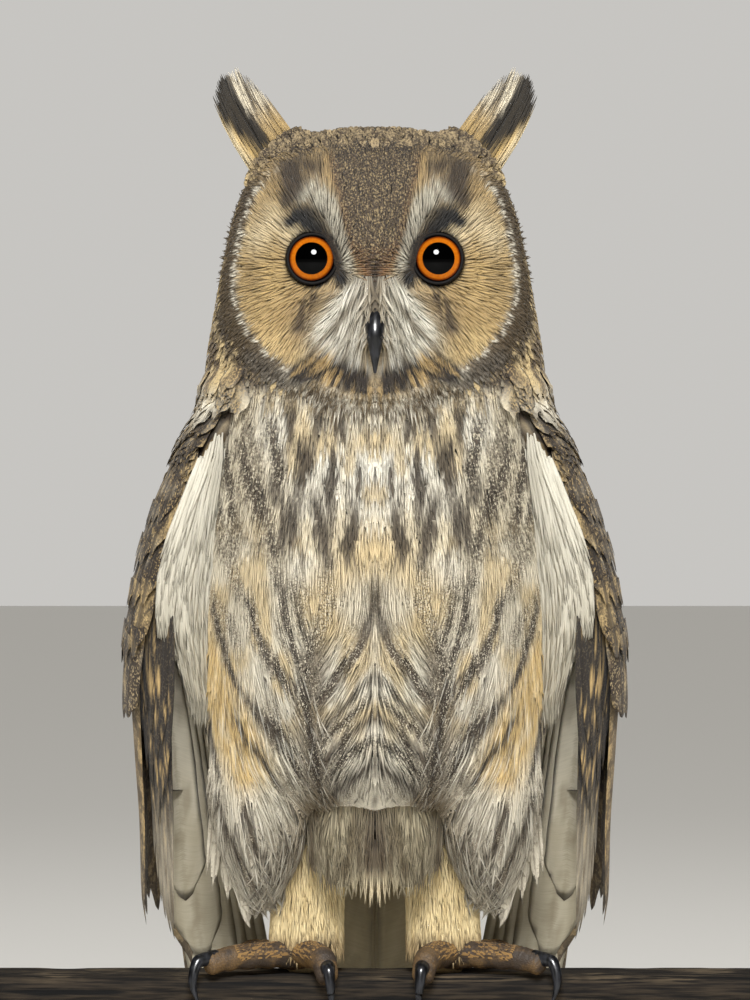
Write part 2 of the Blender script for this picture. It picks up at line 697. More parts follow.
def drawn_from(random, count, *spans):
    """For each span, one random value between its two ends for every feather."""
    return [random.uniform(*span, count) for span in spans]


def falling(random, count, shake):
    """Headings straight down, each shaken a little."""
    return np.array([0.0, 0, -1]) + random.normal(0, shake, (count, 3))


class Shape:
    """A feather's outline: half widths along it, how its corners draw back, its fringed tip, and its hollow.

    columns by rows is its grid. Every second column of the last row is drawn back by fringe, in mm, which leaves
    points.
    """

    def __init__(self, columns, rows, halves, tip_round, fringe, camber, ragged):
        self.columns, self.rows = columns, rows
        self.t = np.linspace(0, 1, rows)
        self.s = np.linspace(-1, 1, columns)
        self.half = np.interp(self.t, *zip(*halves))
        self.tip_round, self.fringe, self.camber, self.ragged = tip_round, fringe, camber, ragged


BRISTLE = Shape(3, 5, [(0, 0.6), (0.35, 1), (0.7, 0.8), (1, 0.12)], 0, 0, 0.2, 0.1)
SMALL = Shape(5, 4, [(0, 0.5), (0.4, 0.95), (0.75, 1), (1, 0.5)], 0.22, 0.8, 0.1, 0.1)
BODY = Shape(7, 6, [(0, 0.35), (0.25, 0.75), (0.6, 1), (0.85, 0.8), (1, 0.35)], 0.16, 1.4, 0.05, 0.08)
LOOSE = Shape(7, 7, [(0, 0.3), (0.25, 0.7), (0.55, 1), (0.8, 0.8), (1, 0.3)], 0.08, 2.4, 0.05, 0.1)
COVERT = Shape(7, 12, [(0, 0.35), (0.2, 0.8), (0.6, 1), (0.9, 0.85), (1, 0.6)], 0.26, 0.5, 0.05, 0.04)
PLUME = Shape(9, 14, [(0, 0.3), (0.3, 0.85), (0.55, 1), (0.8, 0.8), (0.93, 0.5), (1, 0.2)], 0.05, 2.5, 0.05, 0.1)
QUILL = Shape(9, 22, [(0, 0.3), (0.12, 0.75), (0.4, 1), (0.9, 0.97), (0.97, 0.85), (1, 0.6)], 0.1, 0.4, 0.05, 0.02)


def lay(name, u, v, toward, shape, length, width, low, high, seed, bend=0.0):
    """Feathers on a surface: their points as an array of feather, row, column, coordinate.

    Each runs from its root along toward, laid flat on the surface. Distances along and across it become steps of
    the surface's own parameters by its two slopes at the root. It rises from low to high, its middle stands up by
    the camber, and it turns sideways by bend as it goes.
    """
    random = np.random.default_rng(seed)
    count = len(u)
    surface, step, way = SURFACES[name]
    along_u, along_v, normal = slopes_of(surface, u, v, step)
    normal = normal * way
    toward = np.broadcast_to(toward, (count, 3))
    forth = toward - (toward * normal).sum(-1, keepdims=True) * normal
    forth = forth / np.maximum(np.linalg.norm(forth, axis=-1, keepdims=True), 1e-6)
    side = np.cross(forth, normal)
    uu, uv, vv = (along_u**2).sum(-1), (along_u * along_v).sum(-1), (along_v**2).sum(-1)
    det = uu * vv - uv**2

    def steps(direction):
        a, b = (along_u * direction).sum(-1), (along_v * direction).sum(-1)
        return ((vv * a - uv * b) / det)[:, None, None], ((uu * b - uv * a) / det)[:, None, None]

    length, width, low, high, bend = (
        np.broadcast_to(value, count)[:, None, None] for value in (length, width, low, high, bend))
    t, s = shape.t[None, :, None], shape.s[None, None, :]
    teeth = np.where(np.arange(shape.columns) % 2 == 1, -shape.fringe, 0.0)[None, None, :] * (t == 1)
    teeth = teeth + random.uniform(-1, 1, (count, 1, shape.columns)) * shape.fringe * 0.5 * (t == 1)
    run = length * t * (1 - shape.tip_round * s**2 * t**5) + teeth
    uneven = 1 + shape.ragged * random.uniform(-1, 1, (count, shape.rows, shape.columns))
    across = width / 2 * shape.half[None, :, None] * s * uneven + bend * (run / np.maximum(length, 1e-6)) ** 2
    rise = low + (high - low) * t + shape.camber * width * (1 - s**2) * shape.half[None, :, None]
    (fu, fv), (su, sv) = steps(forth), steps(side)
    return lifted(name, u[:, None, None] + run * fu + across * su, v[:, None, None] + run * fv + across * sv, rise)


# The side of one feather's patch on the unwrap for baking, as a part of the whole, and the length in mm that the
# mark for a feather's length is a share of
BAKE_PATCH = 0.003
LENGTH_MARK = 200


class Coat:
    """The feathers of one piece, gathered patch by patch and made into one mesh.

    Each feather is a closed blade: its rows' points on top, and one strip underneath from edge to edge.
    """

    def __init__(self, name):
        self.name, self.patches = name, []

    def add(self, points, roots, ground, marks, both=True):
        """Adds feathers: their points, their roots as places on the unwrap, and each point's colour and marks.

        Marks are the shares of speckle, shaft streak and bars. both adds the mirrored patch on the other side.
        """
        count, rows, columns, _ = points.shape
        length = np.linalg.norm(points[:, -1, columns // 2] - points[:, 0, columns // 2], axis=-1)
        random = np.random.default_rng(count).uniform(0, 1, count)
        ground = np.concatenate([
            np.broadcast_to(ground, points.shape),
            np.broadcast_to(random[:, None, None, None], (count, rows, columns, 1))], -1)
        marks = np.concatenate([
            np.broadcast_to(marks, points.shape),
            np.broadcast_to(length[:, None, None, None] / LENGTH_MARK, (count, rows, columns, 1))], -1)
        self.patches.append((points, roots, ground, marks))
        if both:
            flipped = mirror(points)[:, :, ::-1]
            other = joined(1 - roots[:, 0], roots[:, 1])
            self.patches.append((flipped, other, ground[:, :, ::-1], marks[:, :, ::-1]))

    def grow(self, name, u, v, at, toward, shape, length, width, low, high, colours, seed,
             shake=2.0, root_dim=0.75, bend=0.0):
        """Lays feathers on both sides. Each point takes the colour of its place, shaken along the bird."""
        points = lay(name, u, v, toward, shape, length, width, low, high, seed, bend)
        random = np.random.default_rng(seed + 500)
        where = points + random.normal(0, 1, (len(u), 1, 1, 3)) * shake * np.array([0.35, 0.35, 1.0])
        colour, marks = colours(where)
        dim = root_dim + (1 - root_dim) * smooth(shape.t, 0.0, 0.6)
        self.add(points, at, colour * dim[None, :, None, None], marks)

    def build(self, material, slot_name):
        """Makes the mesh: its faces, its two unwraps, and its colours and marks as attributes."""
        corners, starts, smooth_faces, vanes, bakes, base = [], [], [], [], [], 0
        places, grounds, marks_all = [], [], []
        loops = 0
        for points, roots, ground, marks in self.patches:
            count, rows, columns, _ = points.shape
            grid = np.arange(rows * columns).reshape(rows, columns)
            top = joined(grid[:-1, :-1], grid[:-1, 1:], grid[1:, 1:], grid[1:, :-1]).reshape(-1, 4)
            under = joined(grid[:-1, -1], grid[:-1, 0], grid[1:, 0], grid[1:, -1])
            quads = np.concatenate([top, under])
            caps = np.stack([grid[0, ::-1], grid[-1]])
            offsets = base + np.arange(count)[:, None] * rows * columns
            faces = np.concatenate(
                [offsets + quads.reshape(1, -1), offsets + caps.reshape(1, -1)], axis=1).reshape(-1)
            sizes = np.concatenate([np.full(len(quads), 4), np.full(2, columns)])
            sizes = np.tile(sizes, count)
            starts.append(loops + np.concatenate([[0], np.cumsum(sizes)[:-1]]))
            loops += sizes.sum()
            corners.append(faces)
            smooth_faces.append(np.tile(np.concatenate([np.ones(len(top)), np.zeros(len(under) + 2)]), count))
            vane = np.stack(np.meshgrid(np.linspace(0, 1, columns), np.linspace(0, 1, rows)), -1).reshape(1, -1, 2)
            vane = np.broadcast_to(vane, (count, rows * columns, 2))
            vanes.append(vane.reshape(-1, 2))
            bakes.append((roots[:, None] + (vane - 0.5) * BAKE_PATCH).reshape(-1, 2))
            places.append(points.reshape(-1, 3))
            grounds.append(ground.reshape(-1, 4))
            marks_all.append(marks.reshape(-1, 4))
            base += count * rows * columns
        made = mesh_of(self.name, np.concatenate(places), np.concatenate(corners), np.concatenate(starts),
                       np.concatenate(smooth_faces))
        corner_points = np.concatenate(corners)
        for label, values in (("Vane", vanes), ("OFBake", bakes)):
            layer = made.data.uv_layers.new(name=label)
            layer.data.foreach_set("uv", np.concatenate(values)[corner_points].astype(np.float32).ravel())
        for label, values in (("ground", grounds), ("marks", marks_all)):
            layer = made.data.attributes.new(label, "FLOAT_COLOR", "POINT")
            layer.data.foreach_set("color", np.concatenate(values).astype(np.float32).ravel())
        finish_piece(made, material, slot_name)
        return made


# Materials: node trees built by a small helper


class Nodes:
    """Adds nodes to a tree. An input is given by name or number, as a plain value or as another node's output."""

    def __init__(self, tree):
        self.tree = tree

    def add(self, kind, settings=None, **inputs):
        """A node of a kind: i0, i1 and so on name an input by number, other words name it by its label."""
        node = self.tree.nodes.new("ShaderNode" + kind)
        for key, value in (settings or {}).items():
            setattr(node, key, value)
        for key, value in inputs.items():
            numbered = key[0] == "i" and key[1:].isdigit()
            self.join(node.inputs[int(key[1:]) if numbered else key.replace("_", " ")], value)
        return node

    def join(self, socket, value):
        """Links an output to an input, or sets the input to a plain value."""
        if isinstance(value, bpy.types.NodeSocket):
            self.tree.links.new(value, socket)
        elif isinstance(value, bpy.types.Node):
            self.tree.links.new(value.outputs[0], socket)
        else:
            size = len(socket.default_value) if hasattr(socket.default_value, "__len__") else 0
            if size == 4 and len(value) == 3:
                value = (*value, 1.0)
            socket.default_value = value if size else float(value)

    def spot(self):
        """The place in the model, in metres."""
        return self.add("TexCoord").outputs["Object"]

    def stretched(self, place, scale):
        """A place with each direction scaled, which draws noise out along the small ones."""
        return self.add("Mapping", {}, Vector=place, Scale=scale)

    def math(self, operation, a, b=0.0, c=0.0):
        """One sum of up to three values."""
        return self.add("Math", {"operation": operation}, i0=a, i1=b, i2=c)

    def between(self, value, low, high):
        """0 below low, 1 above high."""
        return self.add("MapRange", {"interpolation_type": "SMOOTHSTEP"}, Value=value, From_Min=low, From_Max=high)

    def blend(self, share, first, second, kind="MIX"):
        """Two colours mixed by share."""
        node = self.add("Mix", {"data_type": "RGBA", "blend_type": kind})
        self.join(node.inputs[0], share)
        self.join(node.inputs[6], first)
        self.join(node.inputs[7], second)
        return node.outputs[2]

    def grain(self, place, scale, detail=2.0, roughness=0.5):
        """Noise from 0 to 1, mostly near a half."""
        return self.add("TexNoise", {}, Vector=place, Scale=scale, Detail=detail, Roughness=roughness).outputs[0]


def group_of(name, inputs, outputs):
    """An empty node group with named sockets, and its helper, input node and output node."""
    tree = bpy.data.node_groups.new(name, "ShaderNodeTree")
    for label, kind, value in inputs:
        socket = tree.interface.new_socket(label, in_out="INPUT", socket_type="NodeSocket" + kind)
        socket.default_value = value
    for label, kind in outputs:
        tree.interface.new_socket(label, in_out="OUTPUT", socket_type="NodeSocket" + kind)
    return tree, Nodes(tree), tree.nodes.new("NodeGroupInput"), tree.nodes.new("NodeGroupOutput")


def plumage_group():
    """One feather's markings over its own length and breadth, on the ground colour that its place on the bird has.

    Across is 0 at the shaft and 1 at the edge. The shaft streak widens towards the tip, bars cross the vane on a
    slant, speckle is thresholded noise, and barbs are noise drawn out along lines that slant away from the shaft.
    """
    tree, n, given, put = group_of("Plumage", [
        ("Dark", "Color", (0, 0, 0, 1)), ("Pale", "Color", (1, 1, 1, 1)), ("Streak width", "Float", 0.3),
        ("Bar count", "Float", 5.0), ("Bar edge", "Float", 0.2), ("Speckle size", "Float", 1.0),
        ("Barb size", "Float", 0.6), ("Barb depth", "Float", 0.6),
    ], [("Color", "Color"), ("Height", "Float")])
    ground = n.add("Attribute", {"attribute_name": "ground"})
    marks = n.add("Attribute", {"attribute_name": "marks"})
    share = n.add("SeparateXYZ", Vector=marks.outputs["Color"])
    vane = n.add("SeparateXYZ", Vector=n.add("UVMap", {"uv_map": "Vane"}).outputs[0])
    spot = n.spot()
    across = n.math("ABSOLUTE", n.math("MULTIPLY_ADD", vane.outputs[0], 2.0, -1.0))
    along = n.math("MULTIPLY", vane.outputs[1], n.math("MULTIPLY", marks.outputs["Alpha"], LENGTH_MARK))
    chance = n.math("MULTIPLY", ground.outputs["Alpha"], 40.0)

    slant = n.math("MULTIPLY_ADD", across, -4.0, along)
    barb_place = n.add("CombineXYZ", X=n.math("DIVIDE", slant, given.outputs["Barb size"]),
                       Y=n.math("MULTIPLY", vane.outputs[0], 2.5), Z=chance)
    barbs = n.grain(barb_place, 1.0, 2.0)
    fine_place = n.add("VectorMath", {"operation": "SCALE"}, Vector=spot, Scale=1000.0)
    wander = n.grain(fine_place, 0.35, 2.0)
    speckle_place = n.add("VectorMath", {"operation": "SCALE"}, Vector=fine_place)
    n.join(speckle_place.inputs["Scale"], n.math("DIVIDE", 1.0, given.outputs["Speckle size"]))
    speckle = n.grain(speckle_place, 1.0, 1.5)

    edge = n.math("MULTIPLY_ADD", n.math("SUBTRACT", wander, 0.5), 0.5, across)
    edge = n.math("MULTIPLY_ADD", n.math("SUBTRACT", barbs, 0.5), 0.4, edge)
    reach = n.math("MULTIPLY", given.outputs["Streak width"], n.between(vane.outputs[1], -0.3, 0.8))
    streak = n.between(n.math("SUBTRACT", reach, edge), -0.12, 0.08)
    streak = n.math("MULTIPLY", streak, share.outputs[1])

    phase = n.math("MULTIPLY_ADD", across, -0.5, n.math("MULTIPLY", vane.outputs[1], given.outputs["Bar count"]))
    phase = n.math("ADD", phase, n.math("MULTIPLY", n.math("SUBTRACT", wander, 0.5), 1.3))
    wave = n.math("PINGPONG", n.math("ADD", phase, chance), 0.5)
    bars = n.between(n.math("SUBTRACT", wave, given.outputs["Bar edge"]), 0.0, 0.14)
    bars = n.math("MULTIPLY", bars, n.math("MULTIPLY", share.outputs[2], 0.75))

    dark_spots = n.math("MULTIPLY", n.between(speckle, 0.52, 0.62), share.outputs[0])
    pale_spots = n.math("MULTIPLY", n.between(speckle, 0.47, 0.37), share.outputs[0])

    shade = n.math("MULTIPLY_ADD", n.math("SUBTRACT", barbs, 0.5), given.outputs["Barb depth"], 1.0)
    shade = n.math("MULTIPLY", shade, n.math("MULTIPLY_ADD", ground.outputs["Alpha"], 0.16, 0.92))
    colour = n.blend(pale_spots, ground.outputs["Color"], given.outputs["Pale"])
    dark = n.math("MAXIMUM", n.math("MAXIMUM", streak, bars), dark_spots)
    colour = n.blend(dark, colour, given.outputs["Dark"])
    colour = n.blend(1.0, colour, n.add("CombineXYZ", X=shade, Y=shade, Z=shade), "MULTIPLY")
    ridge = n.math("MULTIPLY", n.between(across, 0.12, 0.0), 0.6)
    n.join(put.inputs["Color"], colour)
    n.join(put.inputs["Height"], n.math("ADD", barbs, ridge))
    return tree


def material_of(name, roughness, **plain):
    """A material with a Principled surface, whose plain values are set on its own sockets."""
    made = bpy.data.materials.new(name)
    made.use_nodes = True
    shader = made.node_tree.nodes["Principled BSDF"]
    n = Nodes(made.node_tree)
    n.join(shader.inputs["Roughness"], roughness)
    for key, value in plain.items():
        n.join(shader.inputs[key.replace("_", " ")], value)
    return made, n, shader


def bump(n, shader, height, depth, strength=0.6):
    """Makes a height stand out on a surface, depth metres from its lowest to its highest."""
    node = n.add("Bump", {}, Strength=strength, Distance=depth, Height=height)
    n.join(shader.inputs["Normal"], node.outputs[0])


PLUMAGE = plumage_group()


def plumage(name, dark, pale, streak, bars, bar_edge, speckle, barb, depth=0.6):
    """A material for one kind of feather, whose marks are set by the group's inputs."""
    made, n, shader = material_of(name, 0.8, Sheen_Weight=0.08, Sheen_Roughness=0.5, Specular_IOR_Level=0.2)
    feather = n.add("Group", {"node_tree": PLUMAGE}, Dark=dark, Pale=pale, Streak_width=streak, Bar_count=bars,
                    Bar_edge=bar_edge, Speckle_size=speckle, Barb_size=barb, Barb_depth=depth)
    n.join(shader.inputs["Base Color"], feather.outputs["Color"])
    bump(n, shader, feather.outputs["Height"], 0.0004, 0.8 * depth)
    return made


# Each plumage: the colours of its dark and its pale marks, the shaft streak's width, the number of bars, the half
# width of the gaps between them, the sizes of speckle and barbs, and the barbs' depth where it isn't the usual one
PLUMAGES = {
    "face_bristles": (srgb(46, 36, 24), srgb(142, 124, 90), 0.0, 3, 0.2, 0.7, 0.5),
    "head_plumage": (srgb(46, 36, 24), srgb(150, 132, 98), 0.34, 4, 0.2, 0.75, 0.6),
    "breast_plumage": (srgb(70, 58, 43), srgb(208, 198, 172), 0.22, 4, 0.3, 0.9, 0.6),
    "belly_plumage": (srgb(66, 54, 40), srgb(214, 204, 180), 0.13, 5, 0.3, 0.6, 0.7),
    "plume_plumage": (srgb(62, 50, 37), srgb(214, 204, 180), 0.16, 7, 0.3, 0.6, 0.8),
    "wing_plumage": (srgb(36, 28, 19), srgb(176, 150, 102), 0.26, 4.5, 0.26, 0.9, 0.8),
    "quill_plumage": (srgb(50, 40, 28), srgb(176, 156, 118), 0.12, 7.5, 0.22, 1.0, 0.45),
    "pale_plumage": (srgb(150, 140, 116), WHITE, 0.08, 6, 0.3, 1.2, 0.4, 0.3),
    "leg_plumage": (srgb(150, 118, 76), CREAM, 0.1, 3, 0.3, 1.2, 0.6),
}


def skin_material():
    """Down seen between the feathers: the coat's colours with fine, soft noise."""
    made, n, shader = material_of("skin_down", 0.9, Specular_IOR_Level=0.2)
    ground = n.add("Attribute", {"attribute_name": "ground"})
    spot = n.spot()
    down = n.grain(spot, 1600.0, 3.0)
    shade = n.between(down, 0.3, 0.75)
    n.join(shader.inputs["Base Color"], n.blend(n.math("MULTIPLY", shade, 0.35), ground.outputs["Color"], BROWN))
    bump(n, shader, down, 0.0006, 0.7)
    return made


def lid_material():
    """Near-black skin with a fine grain."""
    made, n, shader = material_of("lid_skin", 0.7, Specular_IOR_Level=0.06)
    grain = n.grain(n.spot(), 1500.0)
    n.join(shader.inputs["Base Color"], n.blend(grain, srgb(6, 5, 5), srgb(22, 19, 17)))
    bump(n, shader, grain, 0.0002)
    return made


def eye_material():
    """A wet black pupil, an orange iris that darkens at its rim, and black beyond it, by the distance out."""
    made, n, shader = material_of("eye_gloss", 0.6, Coat_Weight=1.0, Coat_Roughness=0.02, Coat_IOR=1.16,
                                  Specular_IOR_Level=0.0)
    spot = n.spot()
    part = n.add("SeparateXYZ", Vector=spot)
    side = n.math("SUBTRACT", n.math("ABSOLUTE", part.outputs[0]), (EYE["x"] + EYE["turn"] * 10) * MM)
    up = n.math("SUBTRACT", part.outputs[2], (EYE["h"] + PERCH["top"]) * MM)
    reach = n.math("SQRT", n.math("ADD", n.math("MULTIPLY", side, side), n.math("MULTIPLY", up, up)))
    reach = n.math("MULTIPLY", reach, 1000.0)
    fibres = n.grain(n.add("CombineXYZ", X=n.math("MULTIPLY", n.math("ARCTAN2", up, side), 9.0),
                           Y=n.math("MULTIPLY", reach, 0.5)), 1.0, 3.0)
    iris = n.blend(fibres, srgb(150, 70, 4), srgb(186, 106, 20))
    iris = n.blend(n.between(reach, IRIS["darkens"], 7.6), iris, srgb(96, 36, 4))
    colour = n.blend(n.between(reach, IRIS["inner"], 5.8), srgb(1, 1, 1), iris)
    colour = n.blend(n.between(reach, IRIS["outer"], 7.8), colour, srgb(4, 3, 3))
    n.join(shader.inputs["Base Color"], colour)
    return made


def horn_material():
    """Near-black horn, drawn along its length, a little paler at its worn edges."""
    made, n, shader = material_of("horn", 0.3, Coat_Weight=0.2, Coat_Roughness=0.18, Specular_IOR_Level=0.18)
    spot = n.spot()
    drawn = n.grain(n.stretched(spot, (1.0, 1.0, 0.25)), 900.0, 3.0)
    n.join(shader.inputs["Base Color"], n.blend(n.between(drawn, 0.35, 0.7), srgb(9, 9, 10), srgb(36, 37, 41)))
    bump(n, shader, drawn, 0.0001, 0.4)
    return made


def toe_material():
    """Ochre scaly skin with dark creases and dark brown patches."""
    made, n, shader = material_of("toe_skin", 0.7, Specular_IOR_Level=0.3)
    spot = n.spot()
    cells = n.add("TexVoronoi", {"feature": "DISTANCE_TO_EDGE"}, Vector=spot, Scale=900.0).outputs["Distance"]
    patches = n.grain(spot, 130.0, 3.0)
    colour = n.blend(n.between(patches, 0.42, 0.62), srgb(92, 68, 33), srgb(48, 34, 17))
    colour = n.blend(n.math("MULTIPLY", n.between(cells, 0.1, 0.0), 0.55), colour, srgb(44, 32, 18))
    n.join(shader.inputs["Base Color"], colour)
    bump(n, shader, n.between(cells, 0.0, 0.2), 0.0002, 0.6)
    return made


def timber_material():
    """Rough dark timber: grain along x, pale worn fibres on the top edges and dark cracks."""
    made, n, shader = material_of("old_timber", 0.9, Specular_IOR_Level=0.1)
    spot = n.spot()
    fibres = n.grain(n.stretched(spot, (0.06, 1.0, 1.0)), 900.0, 5.0)
    cracks = n.grain(n.stretched(spot, (0.05, 1.0, 1.0)), 260.0, 3.0)
    patches = n.grain(spot, 45.0, 3.0)
    colour = n.blend(n.between(fibres, 0.35, 0.7), srgb(15, 12, 9), srgb(50, 42, 32))
    height = n.add("SeparateXYZ", Vector=spot).outputs[2]
    worn = n.math("MULTIPLY", n.between(height, PERCH["top"] * MM - 0.0035, PERCH["top"] * MM),
                  n.between(patches, 0.42, 0.62))
    colour = n.blend(n.math("MULTIPLY", worn, n.between(fibres, 0.4, 0.6)), colour, srgb(96, 83, 64))
    colour = n.blend(n.between(cracks, 0.4, 0.33), colour, srgb(8, 7, 6))
    n.join(shader.inputs["Base Color"], colour)
    bump(n, shader, n.math("ADD", fibres, cracks), 0.0008, 0.8)
    return made


def base_material():
    """Satin dark-stained wood."""
    made, n, shader = material_of("stained_wood", 0.42, Coat_Weight=0.15, Coat_Roughness=0.3)
    spot = n.spot()
    rings = n.grain(n.stretched(spot, (0.08, 1.0, 1.0)), 220.0, 4.0)
    pores = n.grain(n.stretched(spot, (0.03, 1.0, 1.0)), 1500.0, 2.0)
    colour = n.blend(rings, srgb(44, 34, 27), srgb(86, 68, 54))
    colour = n.blend(n.between(pores, 0.6, 0.72), colour, srgb(24, 18, 14))
    n.join(shader.inputs["Base Color"], colour)
    bump(n, shader, pores, 0.0001, 0.3)
    return made


def steel_material():
    """Brushed steel, its fine lines running round the rod."""
    made, n, shader = material_of("brushed_rod", 0.3, Metallic=1.0)
    lines = n.grain(n.stretched(n.spot(), (0.05, 0.05, 1.0)), 6000.0, 2.0)
    n.join(shader.inputs["Base Color"], n.blend(lines, srgb(150, 150, 152), srgb(190, 190, 192)))
    n.join(shader.inputs["Roughness"], n.math("MULTIPLY_ADD", lines, 0.25, 0.2))
    return made


def paint_node(node, material):
    """Gives a solid that stays as it is a material."""
    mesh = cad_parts[node].data
    mesh.materials.clear()
    mesh.materials.append(material)


# Markings, as functions of a place on the bird. Each gives a colour and the shares of speckle, streak and bars.


def marks_of(speckle, streak, bars):
    """The shares of the three marks as one array."""
    return np.stack(np.broadcast_arrays(speckle, streak, bars), -1)


def eye_rays(x, h, fineness):
    """Noise drawn out along lines that run away from the eye."""
    side = np.abs(x)
    turn = np.arctan2(h - EYE["h"], side - EYE["x"])
    away = np.hypot(h - EYE["h"], side - EYE["x"])
    return noise(joined(turn * fineness, away / 9), 1.0, 3), away


def fan_turn(side, h):
    """How far the hairs of the white fans are turned down from level, at a place beside the bill's root."""
    return np.arctan2(250 - h, side + 1.0 + 0.1 * (250 - h))


def fan_rays(x, h):
    """Noise drawn out along the hairs of the white fans, which run down and out from the bill's root."""
    side = np.abs(x)
    turn = fan_turn(side, h)
    return noise(joined(turn * 26, np.hypot(side, 250 - h) / 12), 1.0, 6)


def wedge_edge(h):
    """Half the width of the speckled wedge between the brows."""
    return np.interp(h, [240, 248, 254, 262, 277, 290, 300], [1.4, 4.8, 7.4, 10.2, 13.6, 16.5, 18.5])


def whisker_map(points):
    """Grey-white hairs over the bill's root, dark along the middle."""
    x, _, h = np.moveaxis(points, -1, 0)
    side = np.abs(x)
    hairs = fan_rays(x, h)
    colour = mix(WHITE, GREY, limited(0.55 + 1.1 * hairs))
    colour = mix(colour, mix(GREY_BROWN, BUFF, 0.3), 0.6 * bell(side, 5))
    colour = mix(colour, mix(DARK, GREY_BROWN, 0.35), 0.9 * bell(side, 1.9 - 0.02 * (h - 232)))
    return colour, marks_of(0.0, 0.0, 0.0)


def face_colours(x, h):
    """The facial disc: buff round the eyes, white brows and fans, black beside the eyes, and a speckled wedge."""
    side = np.abs(x)
    share = disc_share(x, h)
    rays, away = eye_rays(x, h, 16)
    broad = noise(joined(side, h), 9.0, 5)
    colour = mix(PALE_BUFF, mix(BUFF, GREY_BROWN, 0.15), limited(0.8 + 0.7 * broad + 0.5 * rays))
    colour = mix(colour, mix(BUFF, BROWN, 0.3), 0.45 * smooth(h, 232, 246) * smooth(away, 12, 18))
    warm = bell(np.hypot(side - 40, (h - 246) / 1.7), 9.5)
    colour = mix(colour, mix(BUFF, GOLD, 0.3 + 0.4 * limited(rays + 0.5)), 0.85 * warm)
    outer = smooth(share, 0.66, 0.86) * (1 - smooth(h, 268, 284))
    colour = mix(colour, mix(GOLD, CREAM, 0.2), 0.4 * outer)
    colour = mix(colour, mix(BUFF, BROWN, 0.4), 0.6 * bell(share - 0.86, 0.1) * smooth(h, 228, 246))
    colour = mix(colour, CREAM, 0.65 * stroke(side, h, [(28, 262), (36, 268), (42, 262)], 5.5))
    colour = mix(colour, mix(GREY_BROWN, BUFF, 0.5 + 0.5 * np.clip(rays, -1, 1)), 0.75 * smooth(h, 279, 286))

    hairs = fan_rays(x, h)
    fan = stroke(side, h, [(7, 243), (11, 234), (14, 226), (12, 219), (6, 214)], [3.6, 6.8, 8.6, 8.0, 5.0])
    fan = limited(1.7 * fan)
    colour = mix(colour, mix(WHITE, GREY, limited(0.5 + 0.9 * hairs)), fan)
    colour = mix(colour, GREY_BROWN, 0.7 * limited(1.9 * hairs - 0.5) * smooth(fan, 0.15, 0.5))
    smudge = stroke(side, h, [(21, 241), (25, 236), (27, 230)], [1.8, 3.2, 2.6])
    colour = mix(colour, BROWN, np.clip(smudge * (0.8 + 0.9 * rays), 0, 0.9))
    colour = mix(colour, GREY, 0.85 * stroke(side, h, [(11, 260), (9.4, 250), (7.4, 242), (6.4, 236)], 2.6))
    brow = stroke(side, h, [(27, 276), (22, 277.6), (16.6, 272.6), (13.4, 265), (11.2, 257), (9.4, 251)],
                  [2.4, 3.8, 3.8, 3.0, 2.4, 1.8])
    brow_hairs = noise(joined(side + 0.6 * (h - 262), h / 9), 0.9, 7)
    brow_colour = mix(srgb(196, 190, 170), GREY, limited(0.75 + 0.9 * brow_hairs))
    colour = mix(colour, brow_colour, limited(1.5 * brow))
    dim = np.maximum(stroke(side, h, [(31, 287), (28.5, 281), (31, 275)], [3.4, 4.2, 2.6]),
                     0.6 * stroke(side, h, [(27, 288), (21, 286)], 3.0))
    colour = mix(colour, mix(BROWN, DARK, 0.6), np.clip(dim * (1.5 + 0.5 * rays), 0, 0.95))
    patch = stroke(side, h, [(30, 267), (26, 269), (21, 268), (16, 262.5), (13, 254), (12, 246)],
                   [2.2, 4.4, 5.6, 5.0, 3.6, 2.2])
    colour = mix(colour, BLACK, limited(1.5 * patch) * (1 - limited(1.1 * brow) * 0.75))
    colour = mix(colour, BLACK, 1 - smooth(away, 9.2, 10.6))
    jaw = stroke(side, h, [(27, 211), (36, 212), (44, 218)], [2.6, 4.0, 3.2])
    colour = mix(colour, mix(WHITE, GREY, 0.2), 0.85 * limited(1.6 * jaw))

    edge = wedge_edge(h)
    wedge = smooth(edge - side, -0.8, 1.0) * smooth(h, 236, 244)
    rusty = 0.55 * (1 - smooth(h, 250, 262)) + 0.3 * bell(edge - side, 2.2)
    colour = mix(colour, mix(mix(BROWN, GREY_BROWN, 0.15), RUST, rusty), wedge)
    speckle = wedge * smooth(h, 246, 256)
    colour = mix(colour, DARK, 0.9 * stroke(side, h, [(0, 252), (0, 243), (0, 234)], [2.6, 2.0, 1.8]))

    crest = smooth(h, 288, 294)
    colour = mix(colour, mix(mix(DARK, BROWN, 0.5), BUFF, limited(0.2 + broad)), crest)
    speckle = np.maximum(speckle, crest)
    chin = stroke(side, h, [(0, 208), (10, 211.5), (19, 215.5), (27, 213)], [4.0, 4.6, 4.6, 3.4])
    chin = limited(1.8 * chin) * (1 - 0.9 * bell(side, 1.4))
    turn = np.arctan2(236 - h, side)
    streaked = noise(joined(turn * 22, h / 7), 1.0, 8)
    colour = mix(colour, mix(DARK, BUFF, limited(0.16 + 1.5 * streaked)), chin)
    rim = smooth(share, 0.94, 0.965) * (1 - smooth(h, 278, 290))
    flecks = noise(joined(side, h), 0.9, 4)
    rim_colour = mix(mix(BROWN, DARK, 0.5), mix(WHITE, GREY, 0.4), limited(0.25 + 2.0 * flecks))
    rim_colour = mix(rim_colour, mix(DARK, BROWN, 0.5), smooth(share, 0.99, 1.01) * smooth(h, 200, 216))
    colour = mix(colour, rim_colour, 0.9 * rim * (1 - chin))
    return colour, marks_of(speckle * (1 - 0.5 * rim), 0.0, 0.0)


def face_map(points):
    """The disc's colours at points on it."""
    return face_colours(points[..., 0], points[..., 2])


